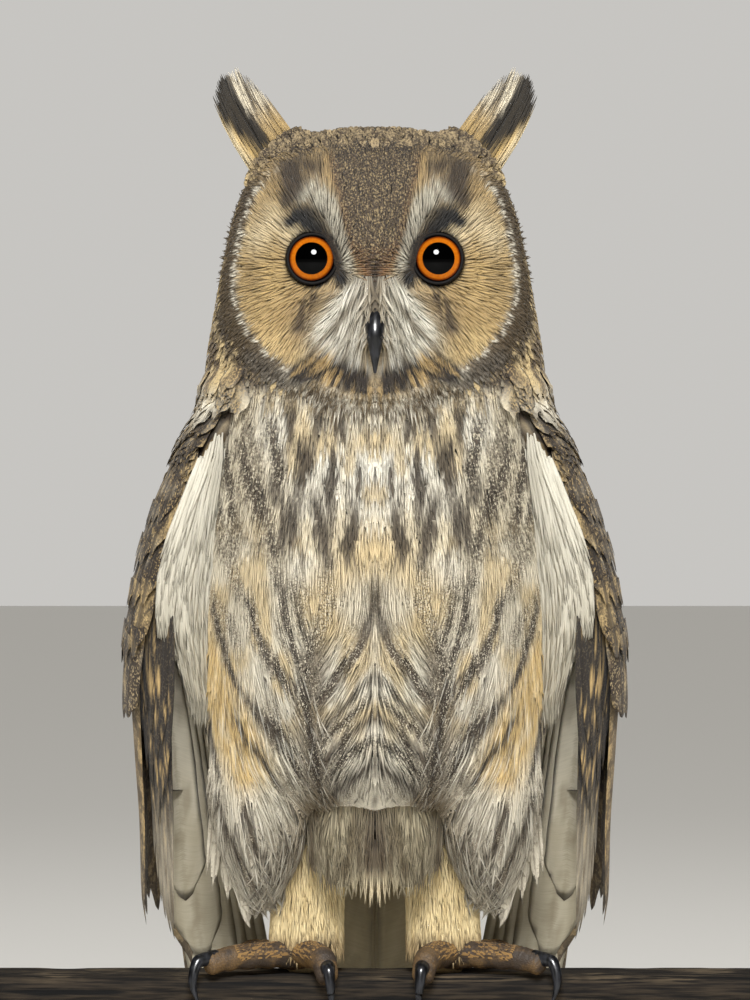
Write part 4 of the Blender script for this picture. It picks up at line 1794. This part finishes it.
def make_fluff(material):
    """The loose feathers below the belly, over the tops of the legs, and the hairs that hang before them."""
    coat = Coat("belly_fluff")
    angle, lean, at = rooted("fluff", (-1.6, 1.6), (0.3, 2.2), 2.2, 84)
    random = np.random.default_rng(85)
    toward = falling(random, len(lean), 0.1) + joined(0.1 * np.sin(angle), 0 * lean, 0 * lean)
    length, width, high = drawn_from(random, len(lean), (12, 19), (1.2, 2.0), (0.3, 1.8))
    coat.grow("fluff", angle, lean, at, toward, BRISTLE, length, width, -1.0, high, fluff_colours, 86,
              root_dim=0.95)

    x, h, at = rooted("hem", (0.0, 24.0), (38.0, 68.0), 1.25, 88,
                      lambda x, h: h > 40 + 0.03 * np.maximum(0, x - 12) ** 2)
    random = np.random.default_rng(89)
    toward = falling(random, len(x), 0.09) + joined(0.012 * (11 - x), 0 * x, 0 * x)
    tip = 28 + 0.05 * (x - 11) ** 2 * (x > 11) + 2.5 * bell(x - 6, 3) - 3 * bell(x, 3)
    over, length, width, high, bend = drawn_from(random, len(x), (-3, 9), (12, 20), (0.5, 0.9), (0.6, 2.2), (-1, 1))
    length = np.maximum(np.minimum(length, h - (tip + over)), 5)
    coat.grow("hem", x, h, at, toward, BRISTLE, length, width, 0.2, high, fluff_colours, 90,
              shake=0.5, root_dim=0.95, bend=bend)
    return coat.build(material, "body_feathers")


def apron_places(gap, seed, missing):
    """Roots over the left flank seen from ahead, thinned by the share missing."""
    u_span, v_span = (20.0, 57.0), (32.0, 118.0)
    x, h = scatter("apron", u_span, v_span, gap, seed)
    random = np.random.default_rng(seed)
    cx, _, ch = FLANK["centre"]
    rx, _, rh = FLANK["radii"]
    inside = (np.abs(x - cx) < rx * lobe_taper((ch - h) / rh) + 1.5) | (h > 72)
    kept = inside & (random.uniform(0, 1, len(x)) > missing)
    return x[kept], h[kept], spread_out(x, h, u_span, v_span)[kept]


def flank_heading(x, h):
    """Down and inwards over the flank; at its foot, the outer feathers draw in to the lobe's point."""
    inward = 0.5 * smooth(x, 19, 27) * (1 - smooth(h, 120, 168)) * smooth(h, 50, 74)
    foot = (1 - smooth(h, 50, 74)) * np.maximum(0, x - 38) / np.maximum(h - 6, 12)
    return joined(-(inward + foot), 0 * x, -np.ones(np.shape(x)))


def hanging(h, length, over):
    """Lengths cut so that the tips stay above the flank's foot, each by its own amount over."""
    return np.maximum(np.minimum(length, h - 21 + over), 6)


def make_flanks(material, down_material):
    """The flank's feathers: those behind on the lobe, those in front on the surface it shares with the trunk."""
    coat = Coat("flank_feathers")
    angle, lean, at = rooted("flank", (-2.4, 2.4), (0.3, 2.2), 3.4, 80, lambda angle, lean: np.abs(angle) > 1.0)
    random = np.random.default_rng(81)
    here = flank(angle, lean)
    toward = joined(-0.018 * (here[:, 0] - 38), 0 * lean, -np.ones(len(lean)))
    length, over, width = drawn_from(random, len(lean), (16, 22), (0, 5), (3, 5))
    length = np.maximum(np.minimum(length, here[:, 2] - 24 + over), 7)
    coat.grow("flank", angle, lean, at, toward, LOOSE, length, width, -2.0, 0.6, flank_colours, 82)

    x, h, at = apron_places(4.3, 83, 0.0)
    random = np.random.default_rng(84)
    toward = flank_heading(x, h) + random.normal(0, 0.07, (len(x), 3))
    length, over, width = drawn_from(random, len(x), (20, 27), (-2, 5), (7, 10))
    coat.grow("apron", x, h, at, toward, LOOSE, hanging(h, length, over), width * (0.6 + 0.4 * smooth(h, 34, 60)),
              -2.0, 1.0, plume_colours, 85, shake=1.2)
    coat.build(material, "leg_feathers")

    strands = Coat("flank_strands")
    x, h, at = apron_places(1.9, 86, 0.35)
    random = np.random.default_rng(87)
    toward = flank_heading(x, h) + random.normal(0, 0.09, (len(x), 3))
    length, over, width, high, bend = drawn_from(random, len(x), (14, 22), (-2, 5), (0.5, 0.9), (1.4, 3.4), (-2, 1))
    strands.grow("apron", x, h, at, toward, BRISTLE, hanging(h, length, over), width, 0.4, high, strand_colours, 88,
                 shake=0.5, root_dim=0.95, bend=bend)
    strands.build(down_material, "leg_feathers")


def make_legs(material):
    """Short down that lies close on the shanks."""
    coat = Coat("leg_down")
    angle, h, at = rooted("shank", (-math.pi, math.pi), (11.0, 62.0), 1.5, 90)
    random = np.random.default_rng(91)
    toward = falling(random, len(h), 0.08)
    length, width, high = drawn_from(random, len(h), (7, 10), (1.0, 1.45), (-0.1, 0.35))
    coat.grow("shank", angle, h, at, toward, BRISTLE, length, width, -0.6, high, leg_colours, 92,
              shake=1.0, root_dim=1.0)
    return coat.build(material, "leg_feathers")


def make_back(material):
    """Broad mottled feathers over the back."""
    coat = Coat("mantle_feathers")
    angle, h, at = rooted("trunk", (1.75, math.pi), (80.0, 226.0), 7.0, 70)
    random = np.random.default_rng(71)
    toward = falling(random, len(h), 0.06)
    length, width = drawn_from(random, len(h), (17, 24), (8, 11))
    coat.grow("trunk", angle, h, at, toward, BODY, length, width, -2.2, 1.6, body_colours, 72)
    return coat.build(material, "body_feathers")


def make_shoulders(material):
    """Feathers from the neck's side and the upper back down over the wings, and long ones between the wings."""

    def keep(angle, h):
        floor = 180 - 14 * smooth(angle, 1.6, 2.4) - 58 * smooth(angle, 2.35, 2.9)
        return (angle > 0.95 + 0.55 * smooth(214 - h, 0, 18)) & (h > floor)

    coat = Coat("shoulder_feathers")
    angle, h, at = rooted("shoulder", (0.95, math.pi), (118.0, 222.0), 4.6, 60, keep)
    random = np.random.default_rng(61)
    toward = falling(random, len(h), 0.07)
    length, width = drawn_from(random, len(h), (15, 20), (7.5, 10))
    long = smooth(angle, 2.2, 2.8) * (1 - smooth(h, 150, 190))
    coat.grow("shoulder", angle, h, at, toward, BODY, length * (1 + 0.7 * long), width * (1 + 0.2 * long), -1.0,
              2.4 + 1.5 * long, shoulder_colours, 62, shake=1.0)
    return coat.build(material, "body_feathers")


# Wings, tail and ear tufts

# Rows of the folded wing's feathers: how many, where the first lies round the wing, heights of roots and of tips
# from front to back, width, and lifts
TIERS = [
    (17, 0.09, (190, 186), (160, 152), 9.5, (-0.6, 3.2)), (16, 0.07, (180, 174), (146, 138), 10.5, (-0.2, 4.0)),
    (15, 0.06, (168, 162), (131, 123), 11.5, (0.0, 4.4)), (14, 0.08, (154, 150), (113, 106), 12.5, (0.2, 4.8)),
    (14, 0.12, (138, 136), (92, 86), 14, (0.4, 5.4)), (15, 0.14, (114, 118), (18, 46), 15, (1.0, 5.4)),
]
# Heights of the tips of the primaries, from the outermost in, and of the white feathers that line them
PRIMARY_TIPS = [26, -4, -34, -60, -79, -76, -64, -50]
LINING_TIPS = [24, 1, -32, -60, -76, -66]
# Narrow striped feathers along the wing's front edge: place round the wing's outside, heights of root and tip
STRIPES = [
    (-0.05, 122, 74), (-0.035, 128, 64), (-0.02, 134, 82), (-0.005, 138, 58), (0.01, 143, 76), (0.025, 147, 52),
    (0.04, 150, 86), (0.055, 150, 66), (0.07, 152, 92), (0.09, 152, 72), (0.11, 150, 84), (-0.045, 86, 14),
    (-0.025, 90, 11), (-0.005, 92, 13), (0.015, 94, 18), (0.035, 96, 24), (0.055, 98, 32), (0.08, 100, 40),
]


def quills(name, places, roots, tips, width, low, high, colours, marks, seed, shape=QUILL):
    """Long feathers side by side, one for each place across a sheet, each along the sheet's own line downwards."""
    random = np.random.default_rng(seed)
    places, roots, tips = (np.asarray(value, float) for value in (places, roots, tips))
    count = len(places)
    surface = SURFACES[name][0]
    toward = surface(places, roots - 1) - surface(places, roots)
    length = (roots - tips) * np.linalg.norm(toward, axis=-1)
    points = lay(name, places, roots, toward, shape, length, width, low, high, seed)
    where = points + random.normal(0, 1.2, (count, 1, 1, 3))
    return points, colours(where), np.broadcast_to(marks, points.shape)


def wing_body():
    """The wing's arm and hand: a shell under the vanes, thick at the shoulder and thin below."""
    h = np.linspace(203.3, 64, 60)
    s = np.linspace(0, 1, 48)
    heights, across = np.meshgrid(h, s, indexing="ij")
    outer = lifted("wing", across, heights, np.full(heights.shape, -1.4))
    deep = np.interp(heights, [64, 100, 122, 138, 160, 203], [1.5, 2, 4, 14, 24, 20])
    deep = deep * (0.12 + 0.88 * np.sqrt(limited(1 - np.abs(2 * across - 1) ** 3)))
    inner = lifted("wing", across, heights, -1.4 - deep)
    return np.concatenate([outer, inner[:, ::-1]], axis=1)


def make_wing_shells(material):
    """The wings' arms and hands under their feathers, each a shell whose end rings shrink to a point."""
    wall = wing_body()
    middle = wall.mean(axis=1, keepdims=True)
    shrunk = middle + (wall - middle) * 0.02
    whole = np.concatenate([shrunk[:1], wall, shrunk[-1:]])
    made = closed("wing_bodies", [whole, mirror(whole)], material, "wing_feathers", "wing_left", "wing_right")
    paint_points(made.data, wing_colours)


def put_on_side(coat, way, points, ground, marks, at):
    """Adds feathers on one side alone: as they are for the left, mirrored for the right."""
    ground, marks = np.broadcast_to(ground, points.shape), np.broadcast_to(marks, points.shape)
    if way > 0:
        coat.add(points, at, ground, marks, False)
    else:
        coat.add(mirror(points)[:, :, ::-1], at, ground[:, :, ::-1], marks[:, :, ::-1], False)


def row_of_places(count, height):
    """Places in a level row on the unwrap."""
    return joined(np.linspace(0.05, 0.95, count), np.full(count, height))


def make_wing_vanes(side_name, way, material, coverts):
    """The rows of coverts and secondaries, the primaries, and the narrow striped feathers in front.

    The rows above the last two go to the coat of coverts.
    """
    vanes = Coat("wing_vanes_" + side_name)
    for tier, (count, first, root, tip, width, lifts) in enumerate(TIERS):
        t = np.linspace(0, 1, count)
        number = np.arange(count)
        ragged = 1.8 * np.sin(number * 2.4 + tier) + 1.4 * np.sin(number * 4.1 + 2 * tier)
        last = tier == len(TIERS) - 1
        large = tier > len(TIERS) - 3
        tips = tip[0] + (tip[1] - tip[0]) * t ** (2 if last else 1) + ragged
        roots = root[0] + (root[1] - root[0]) * t
        lift = np.linspace(0.7, 0, count)
        if last:
            t = t**1.35
            width = np.linspace(11, width + 3, count)
        shade, marks = (quill_shade, (0.4, 0.5, 0.95)) if last else (wing_shade, (0.6, 0.75, 0.45))
        made = quills("wing", first + (0.955 - first) * t, roots, tips, width, lifts[0] + lift, lifts[1] + lift,
                      shade, marks, 100 + tier, QUILL if large else COVERT)
        put_on_side(vanes if large else coverts, way, *made, row_of_places(count, 0.1 + 0.14 * tier))

    count = len(PRIMARY_TIPS)
    order = np.arange(count)
    s, roots = 0.96 - 0.86 * order / (count - 1), np.full(count, 120.0)
    lift = 0.5 * order - 1
    made = quills("hand", s, roots, PRIMARY_TIPS, 12.5, lift, lift, quill_shade, (0.2, 0.3, 0.9), 110)
    put_on_side(vanes, way, *made, row_of_places(count, 0.93))

    s, roots, tips = np.array(STRIPES).T
    made = quills("wing", s, roots, tips, 4.4, 0.0, 1.6, stripe_shade, (0.1, 0.2, 0.1), 112)
    put_on_side(vanes, way, *made, row_of_places(len(s), 0.97))
    vanes.build(material, "wing_feathers")


def make_wing_lining(side_name, way, material):
    """White feathers inside the wing: long ones under the primaries, and fine ones inside its front edge."""
    coat = Coat("wing_lining_" + side_name)
    count = len(LINING_TIPS)
    s, roots = np.array([0.93, 0.76, 0.6, 0.44, 0.28, 0.12]), np.full(count, 118.0)
    lift = 1.2 - 0.6 * np.arange(count)
    made = quills("palm", s, roots, LINING_TIPS, 15, lift, lift, pale_shade, (0, 0.4, 0), 111)
    put_on_side(coat, way, *made, row_of_places(count, 0.85))

    u_span, v_span = (0.06, 1.0), (102.0, 198.0)
    q, h = scatter("lining", u_span, v_span, 1.5, 120)
    random = np.random.default_rng(121)
    over, length, edge = drawn_from(random, len(q), (-3, 5), (28, 38), (-2, 2))
    length = np.minimum(length, h - (90 + 31 * smooth(0.4 - q, 0, 0.16) + over))
    kept = (length > 7) & (h < 183 + 10 * bell(q - 0.55, 0.4) + edge)
    q, h, length = q[kept], h[kept], length[kept]
    toward = lining(q, h - 1) - lining(q, h) + random.normal(0, 0.025, (len(q), 3))
    width, high = drawn_from(random, len(q), (1.3, 2.1), (0.2, 0.8))
    points = lay("lining", q, h, toward, BRISTLE, length, width, -0.4, high, 122)
    at = spread_out(q, h, u_span, v_span, False) * [1, 0.8]
    put_on_side(coat, way, points, silk_shade(points), (0, 0, 0), at)
    coat.build(material, "wing_feathers")


def make_wing(side_name, way, vane_material, small_material, pale_material):
    """One wing: its rows of feathers, its lining, and small coverts over its shoulder."""
    coverts = Coat("wing_coverts_" + side_name)
    make_wing_vanes(side_name, way, vane_material, coverts)
    make_wing_lining(side_name, way, pale_material)

    u_span, v_span = (0.08, 0.98), (174.0, 203.0)
    s, h = scatter("wing", u_span, v_span, 4.2, 130)
    random = np.random.default_rng(131)
    count = len(h)
    toward = falling(random, count, 0.05)
    length, width = drawn_from(random, count, (11, 16), (7, 9))
    points = lay("wing", s, h, toward, BODY, length, width, -0.8, 2.2, 132)
    ground, marks = wing_colours(points + random.normal(0, 1.5, (count, 1, 1, 3)))
    put_on_side(coverts, way, points, ground, marks, spread_out(s, h, u_span, v_span, False))
    coverts.build(small_material, "wing_feathers")


def make_tail(material, pale_material):
    """A closed fan: the middle pair on top, each pair further out under the last."""
    order = np.arange(6)
    centre = np.where(order == 0, 3.4, 7.0 + 14.0 * (order - 1) / 4) / TAIL["half_tip"]
    tips = TAIL["tip"][1] + 1.6 * order
    at = joined(np.linspace(0.55, 0.95, 6), np.full(6, 0.5))
    for name, sheet, shade, lift, marks, look, solids in (
        ("tail_vanes", "tail", tail_shade, 0.3 - 0.95 * order, (0.2, 0.2, 0.9), material, ["tail"]),
        ("tail_underside", "tail_under", pale_tail, 0.7 + 0.95 * order, (0, 0, 0.3), pale_material, []),
    ):
        coat = Coat(name)
        points, ground, _ = quills(sheet, centre, np.full(6, 78.0), tips, 13.5, lift, lift, shade, marks, 140)
        coat.add(points, at, ground, marks)
        made = coat.build(look, "tail_feathers")
        if solids:
            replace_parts(made, *solids)


def make_tail_root(cover_material, down_material):
    """Coverts over the tail's root, and the soft grey-white feathers under it that hang between the legs."""
    over = limb_surface([(0, 38, 84), (0, 40, 68), (0, 41, 52), (0, 43, 38)], [13, 12, 9, 3])
    below = limb_surface([(0, 24, 70), (0, 26, 54), (0, 28, 40), (0, 31, 26)], [12, 12.5, 9, 2.5])
    for name, surface, shade, material, seed in (
        ("tail_coverts", over, tail_shade, cover_material, 150),
        ("undertail_down", below, under_shade, down_material, 155),
    ):
        SURFACES[name] = (surface, (0.02, 0.01), 1)
        coat = Coat(name)
        angle, t, at = rooted(name, (0.0, math.pi), (0.04, 0.8), 3.6, seed)
        length, width = drawn_from(np.random.default_rng(seed), len(t), (14, 20), (5, 7))
        points = lay(name, angle, t, np.array([0, 0, -1.0]), LOOSE, length, width, -0.8, 1.6, seed)
        coat.add(points, at, shade(points), (0.1, 0.1, 0.1))
        coat.build(material, "tail_feathers")


# Layers of an ear tuft: how many feathers, their width, how far out the layer lies, and their shape
EAR_LAYERS = [(11, 6.5, -1.0, LOOSE), (17, 4.0, 0.0, LOOSE), (64, 1.3, 0.7, BRISTLE), (50, 1.1, -1.6, BRISTLE)]


def make_ears(material):
    """Ear tufts of long feathers stacked side by side, which draw together at the tip, edged with loose barbs."""
    coat = Coat("ear_tufts")
    size = np.linalg.norm(ear_run)
    for layer, (count, width, low, shape) in enumerate(EAR_LAYERS):
        random = np.random.default_rng(160 + layer)
        out = np.linspace(-1, 1, count) + random.uniform(-0.4, 0.4, count) / count
        s = out * (EAR["half"] - width * 0.4)
        later, shorter = drawn_from(random, count, (0, 0.2), (0, 1))
        t = np.where(out < 0, 0.1 * out**2, 0.0) - 0.14 + later * (shape is BRISTLE)
        tip = 0.97 - 0.14 * np.maximum(0, out) ** 3 - 0.34 * np.maximum(0, -out) ** 2
        tip = tip - 0.05 * shorter - 0.015 * layer
        toward = ear_run / size - ear_out * (0.1 * out + 0.04)[:, None]
        points = lay("ear", s, t, toward, shape, (tip - t) * size, width, low + 0.5 * (np.arange(count) % 2),
                     low + 0.6, 165 + layer)
        ground, speckle = ear_colours(*ear_place(points))
        at = joined(0.52 + 0.46 * (out + 1.1) / 2.2, np.full(count, 0.2 + 0.2 * layer))
        coat.add(points, at, ground, marks_of(speckle, 0.0, 0.0))
    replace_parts(coat.build(material, "head_feathers"), "ear_tuft_left", "ear_tuft_right")


# Eyes, bill, feet and claws


def make_eyes(material, lid_material):
    """Two eyeballs, each the front of a ball on a flat back, and a lid's rounded edge about each opening."""
    radius, opening = EYE["radius"], EYE["opening"]
    lean = np.linspace(0.004, 1.2, 30)[::-1]
    ball = [(0.02, -2.0), (radius * 0.8, -2.0)] + [(radius * math.sin(a), radius * math.cos(a)) for a in lean]
    wall = turned_wall(ball)
    for name, found in (("left", wall), ("right", mirror(wall))):
        closed("eyeball_" + name, [found], material, "eye", "eye_" + name)

    back = math.sqrt(radius**2 - opening**2)
    turn = np.linspace(0, 2 * np.pi, 16, endpoint=False)
    ring = [(opening + 0.35 - 0.55 * math.cos(a), back + 0.15 + 0.5 * math.sin(a)) for a in turn]
    rim = np.moveaxis(turned_wall(ring, 72), 1, 0)
    closed_loop("eyelids", [rim, mirror(rim)], lid_material, "head_feathers")


def make_bill(material):
    """The hooked upper half, with a ridge along it and a groove round it near its root, and the lower half."""

    def ridge_and_groove(t, turn, run):
        return 0.04 * bell(np.cos(turn), 0.5) * (1 - t) - 0.05 * bell(t - 0.28, 0.03)

    upper = tube(BILL_UPPER, BILL_RADII["upper"], sides=40, rings=60, relief=ridge_and_groove)
    lower = tube(BILL_LOWER, BILL_RADII["lower"], sides=32, rings=36)
    closed("beak_upper", [upper], material, "horn", "bill_upper")
    closed("beak_lower", [lower], material, "horn", "bill_lower")


def make_feet(toe_skin, horn):
    """Toes with a swollen pad at each joint and a scute every 2 mm, and smooth hooked claws."""

    def scutes(t, turn, run):
        ripple = np.abs(np.sin(run * math.pi / 2.1)) ** 0.6
        above, below = smooth(np.sin(turn), -0.2, 0.5), smooth(-np.sin(turn), 0, 1)
        return 0.07 * ripple * above + 0.05 * np.sin(run * 0.8) * below

    toes = [tube(path, np.array(radii) * 0.96, 28, 64, relief=scutes) for path, radii, _ in TOES.values()]
    ankle = ball_wall((29.5, -5, 6.6), (6.2, 6.2, 5.9))
    for name, turn in (("left", lambda wall: wall), ("right", mirror)):
        walls = [turn(wall) for wall in toes + [ankle]]
        foot = closed("toes_" + name, walls, toe_skin, "toe_skin", "foot_" + name)
        lift_off(foot)
        for toe, (_, _, claw) in TOES.items():
            wall = turn(tube(claw, [3.0, 2.3, 1.5, 0.35], 20, 36, round_end=0.6))
            closed(f"talon_{toe}_{name}", [wall], horn, "horn", f"claw_{toe}_{name}")


def make_toe_tufts(material):
    """Thin feathering on top of the toes, ochre with dark hairs, that stops short of the claws."""
    coat = Coat("toe_feathers")
    for number, (path, radii, _) in enumerate(TOES.values()):
        name = f"toe_{number}"
        SURFACES[name] = (toe_surface(path, radii), (0.02, 0.01), 1)
        angle, t = scatter(name, (-1.6, 1.6), (0.0, 0.68), 1.15, 170 + number)
        random = np.random.default_rng(175 + number)
        count = len(t)
        run = np.array(path[-1], float) - np.array(path[0], float)
        toward = np.broadcast_to(run / np.linalg.norm(run), (count, 3)) + random.normal(0, 0.22, (count, 3))
        points = lay(name, angle, t, toward, BRISTLE, random.uniform(4.5, 8, count), random.uniform(0.6, 1.0, count),
                     -0.3, random.uniform(0.5, 2.2, count), 180 + number)
        dark = noise(joined(angle * 4, t * 9), 1.0, 49) + random.uniform(-0.6, 0.6, count) > 0.1
        ground = mix(srgb(134, 102, 54) * np.ones(points.shape), srgb(40, 29, 17), 0.9 * dark[:, None, None])
        coat.add(points, spread_out(angle, t + number, (-1.6, 1.6), (0, 4)), ground, (0.0, 0.0, 0.0))
    return coat.build(material, "toe_skin")


# Perch


def make_perch(material):
    """The timber: a rounded square section carried along x, cut into by noise drawn along the grain."""
    length, deep, tall, corner = (PERCH[key] for key in ("length", "depth", "height", "round"))
    along = np.linspace(-length / 2, length / 2, 420)
    half = np.array([deep / 2 - corner, tall / 2 - corner])
    arc = np.linspace(0, math.pi / 2, 9)
    outline = []
    for quarter in range(4):
        centre = half * [(1, 1), (-1, 1), (-1, -1), (1, -1)][quarter]
        turn = arc + quarter * math.pi / 2
        outline.append(centre + corner * joined(np.cos(turn), np.sin(turn)))
        reach = [(-1, 1), (-1, -1), (1, -1), (1, 1)][quarter]
        stop = half * reach + corner * np.array([(0, 1), (-1, 0), (0, -1), (1, 0)][quarter])
        steps = np.linspace(0, 1, 22)[1:-1, None]
        outline.append(outline[-1][-1] * (1 - steps) + stop * steps)
    outline = np.concatenate(outline)
    out = outline / np.linalg.norm(outline, axis=1, keepdims=True)
    grid = np.stack(np.broadcast_arrays(along[:, None], outline[None, :, 0], outline[None, :, 1]), -1)
    grain = noise(grid / np.array([14, 1.3, 1.3]), 1.0, 50) + 0.5 * noise(grid / np.array([8, 0.6, 0.6]), 1.0, 51)
    worn = noise(grid, 16.0, 52)
    cut = 0.25 + 0.35 * np.maximum(0, grain) + 0.35 * np.maximum(0, worn)
    cut = cut * smooth(length / 2 - np.abs(grid[..., 0]), -1, 4)
    grid[..., 1:] -= out[None] * cut[..., None]
    grid[..., 2] -= tall / 2
    ends = [np.concatenate([grid[i : i + 1] * [1, s, s] - [0, 0, (1 - s) * tall / 2] for s in shares])
            for i, shares in ((0, (0.02, 0.3, 0.6, 0.85, 0.96)), (len(along) - 1, (0.96, 0.85, 0.6, 0.3, 0.02)))]
    closed("timber", [np.concatenate([ends[0], grid, ends[1]])], material, "perch_timber", "stand_perch")


# Floor, light and camera


def make_stage():
    """The floor and an even, pale surrounding light that glossy surfaces don't show."""
    floor_mesh = bpy.data.meshes.new("floor")
    reach = 12.0
    floor_mesh.from_pydata([(-reach, -reach, 0), (reach, -reach, 0), (reach, reach, 0), (-reach, reach, 0)], [],
                           [(0, 1, 2, 3)])
    floor = bpy.data.objects.new("floor", floor_mesh)
    floor.location.z = -0.0005
    bpy.context.scene.collection.objects.link(floor)
    floor_mesh.materials.append(material_of("pale_floor", 0.8, Base_Color=srgb(224, 222, 217))[0])

    world = bpy.data.worlds.new("studio")
    bpy.context.scene.world = world
    world.use_nodes = True
    back = world.node_tree.nodes["Background"]
    back.inputs["Color"].default_value = (*srgb(226, 224, 220), 1)
    back.inputs["Strength"].default_value = 0.75
    world.cycles_visibility.glossy = False


# Area lights: name, shape, place, aim, size, power, and whether glossy and whether matt surfaces see it
LIGHTS = [
    ("key", "DISK", (0, -1.42, 1.05), (0, 0, 0.3), 0.55, 22, False, True),
    ("catch", "DISK", (0, -1.38, 1.01), (0, 0, 0.3), 0.5, 120, True, False),
    ("back_fill", "SQUARE", (0, 1.5, 1.6), (0, 0, 0.3), 1.2, 4, False, True),
    ("left_fill", "SQUARE", (1.5, -0.8, 0.9), (0, 0, 0.25), 1.2, 14, False, True),
    ("right_fill", "SQUARE", (-1.5, -0.8, 0.9), (0, 0, 0.25), 1.2, 14, False, True),
]


def add_light(name, kind, at, aim, size, power, in_gloss, in_matt):
    """An area light that matt surfaces, glossy ones or both can see."""
    light = bpy.data.lights.new(name, "AREA")
    light.shape = kind
    light.size = size
    light.energy = power
    made = bpy.data.objects.new(name, light)
    made.location = at
    way = np.array(at) - np.array(aim)
    made.rotation_euler = (math.acos(way[2] / np.linalg.norm(way)), 0, math.atan2(way[1], way[0]) + math.pi / 2)
    made.visible_glossy = in_gloss
    made.visible_diffuse = in_matt
    bpy.context.scene.collection.objects.link(made)


# In metres, but the sensor in millimetres: the bird's front lies ahead of the frame's middle
CAMERA = {"distance": 1.9, "ahead": 0.04, "height": 0.275, "frame_height": 0.3545, "sensor": 36.0}


def make_camera():
    """Level, on the bird's middle line, and far off, as the photo's perspective is flat."""
    camera = bpy.data.cameras.new("camera")
    camera.sensor_fit, camera.sensor_height = "VERTICAL", CAMERA["sensor"]
    camera.lens = CAMERA["sensor"] * CAMERA["distance"] / CAMERA["frame_height"]
    made = bpy.data.objects.new("camera", camera)
    made.location = (0, -CAMERA["distance"] - CAMERA["ahead"], CAMERA["height"])
    made.rotation_euler = (math.pi / 2, 0, 0)
    camera.clip_end = 50
    bpy.context.scene.collection.objects.link(made)
    bpy.context.scene.camera = made


bpy.context.scene.view_settings.view_transform = "Standard"
make_camera()
make_stage()
for light in LIGHTS:
    add_light(*light)

looks = {name: plumage(name, *values) for name, values in PLUMAGES.items()}
down, horn, toe_skin, steel = skin_material(), horn_material(), toe_material(), steel_material()
face_look, belly_look, wing_look = looks["face_bristles"], looks["belly_plumage"], looks["wing_plumage"]
quill_look, pale_look, leg_look = looks["quill_plumage"], looks["pale_plumage"], looks["leg_plumage"]

make_skin(down)
make_face(face_look)
make_rim(face_look)
make_head(looks["head_plumage"])
make_body("breast_feathers", looks["breast_plumage"], BODY, heights=(138.0, 213.0), gap=4.6, length=(17, 23),
          width=(8.5, 11.5), lifts=(-2.4, 0.5), seed=20)
make_body("breast_down", looks["breast_plumage"], BRISTLE, heights=(134.0, 212.0), gap=1.7, length=(9, 14),
          width=(0.9, 1.4), lifts=(-0.4, 1.3), seed=28, max_turn=1.3, colours=neck_colours)
make_body("belly_feathers", belly_look, LOOSE, heights=(62.0, 150.0), gap=5.0, length=(25, 33),
          width=(8.5, 12), lifts=(-2.6, 0.7), seed=24, keep=clear_of_flank)
make_plumes(looks["plume_plumage"])
make_belly_strands(belly_look)
make_back(wing_look)
make_flanks(belly_look, pale_look)
make_fluff(pale_look)
make_legs(leg_look)
make_shoulders(wing_look)
make_wing_shells(down)
for side_name, way in (("left", 1), ("right", -1)):
    make_wing(side_name, way, quill_look, wing_look, pale_look)
make_tail(quill_look, pale_look)
make_tail_root(quill_look, pale_look)
make_ears(face_look)
make_eyes(eye_material(), lid_material())
make_bill(horn)
make_feet(toe_skin, horn)
make_toe_tufts(leg_look)
make_perch(timber_material())
paint_node("stand_base", base_material())
for rod in ("stand_rod_left", "stand_rod_right"):
    paint_node(rod, steel)
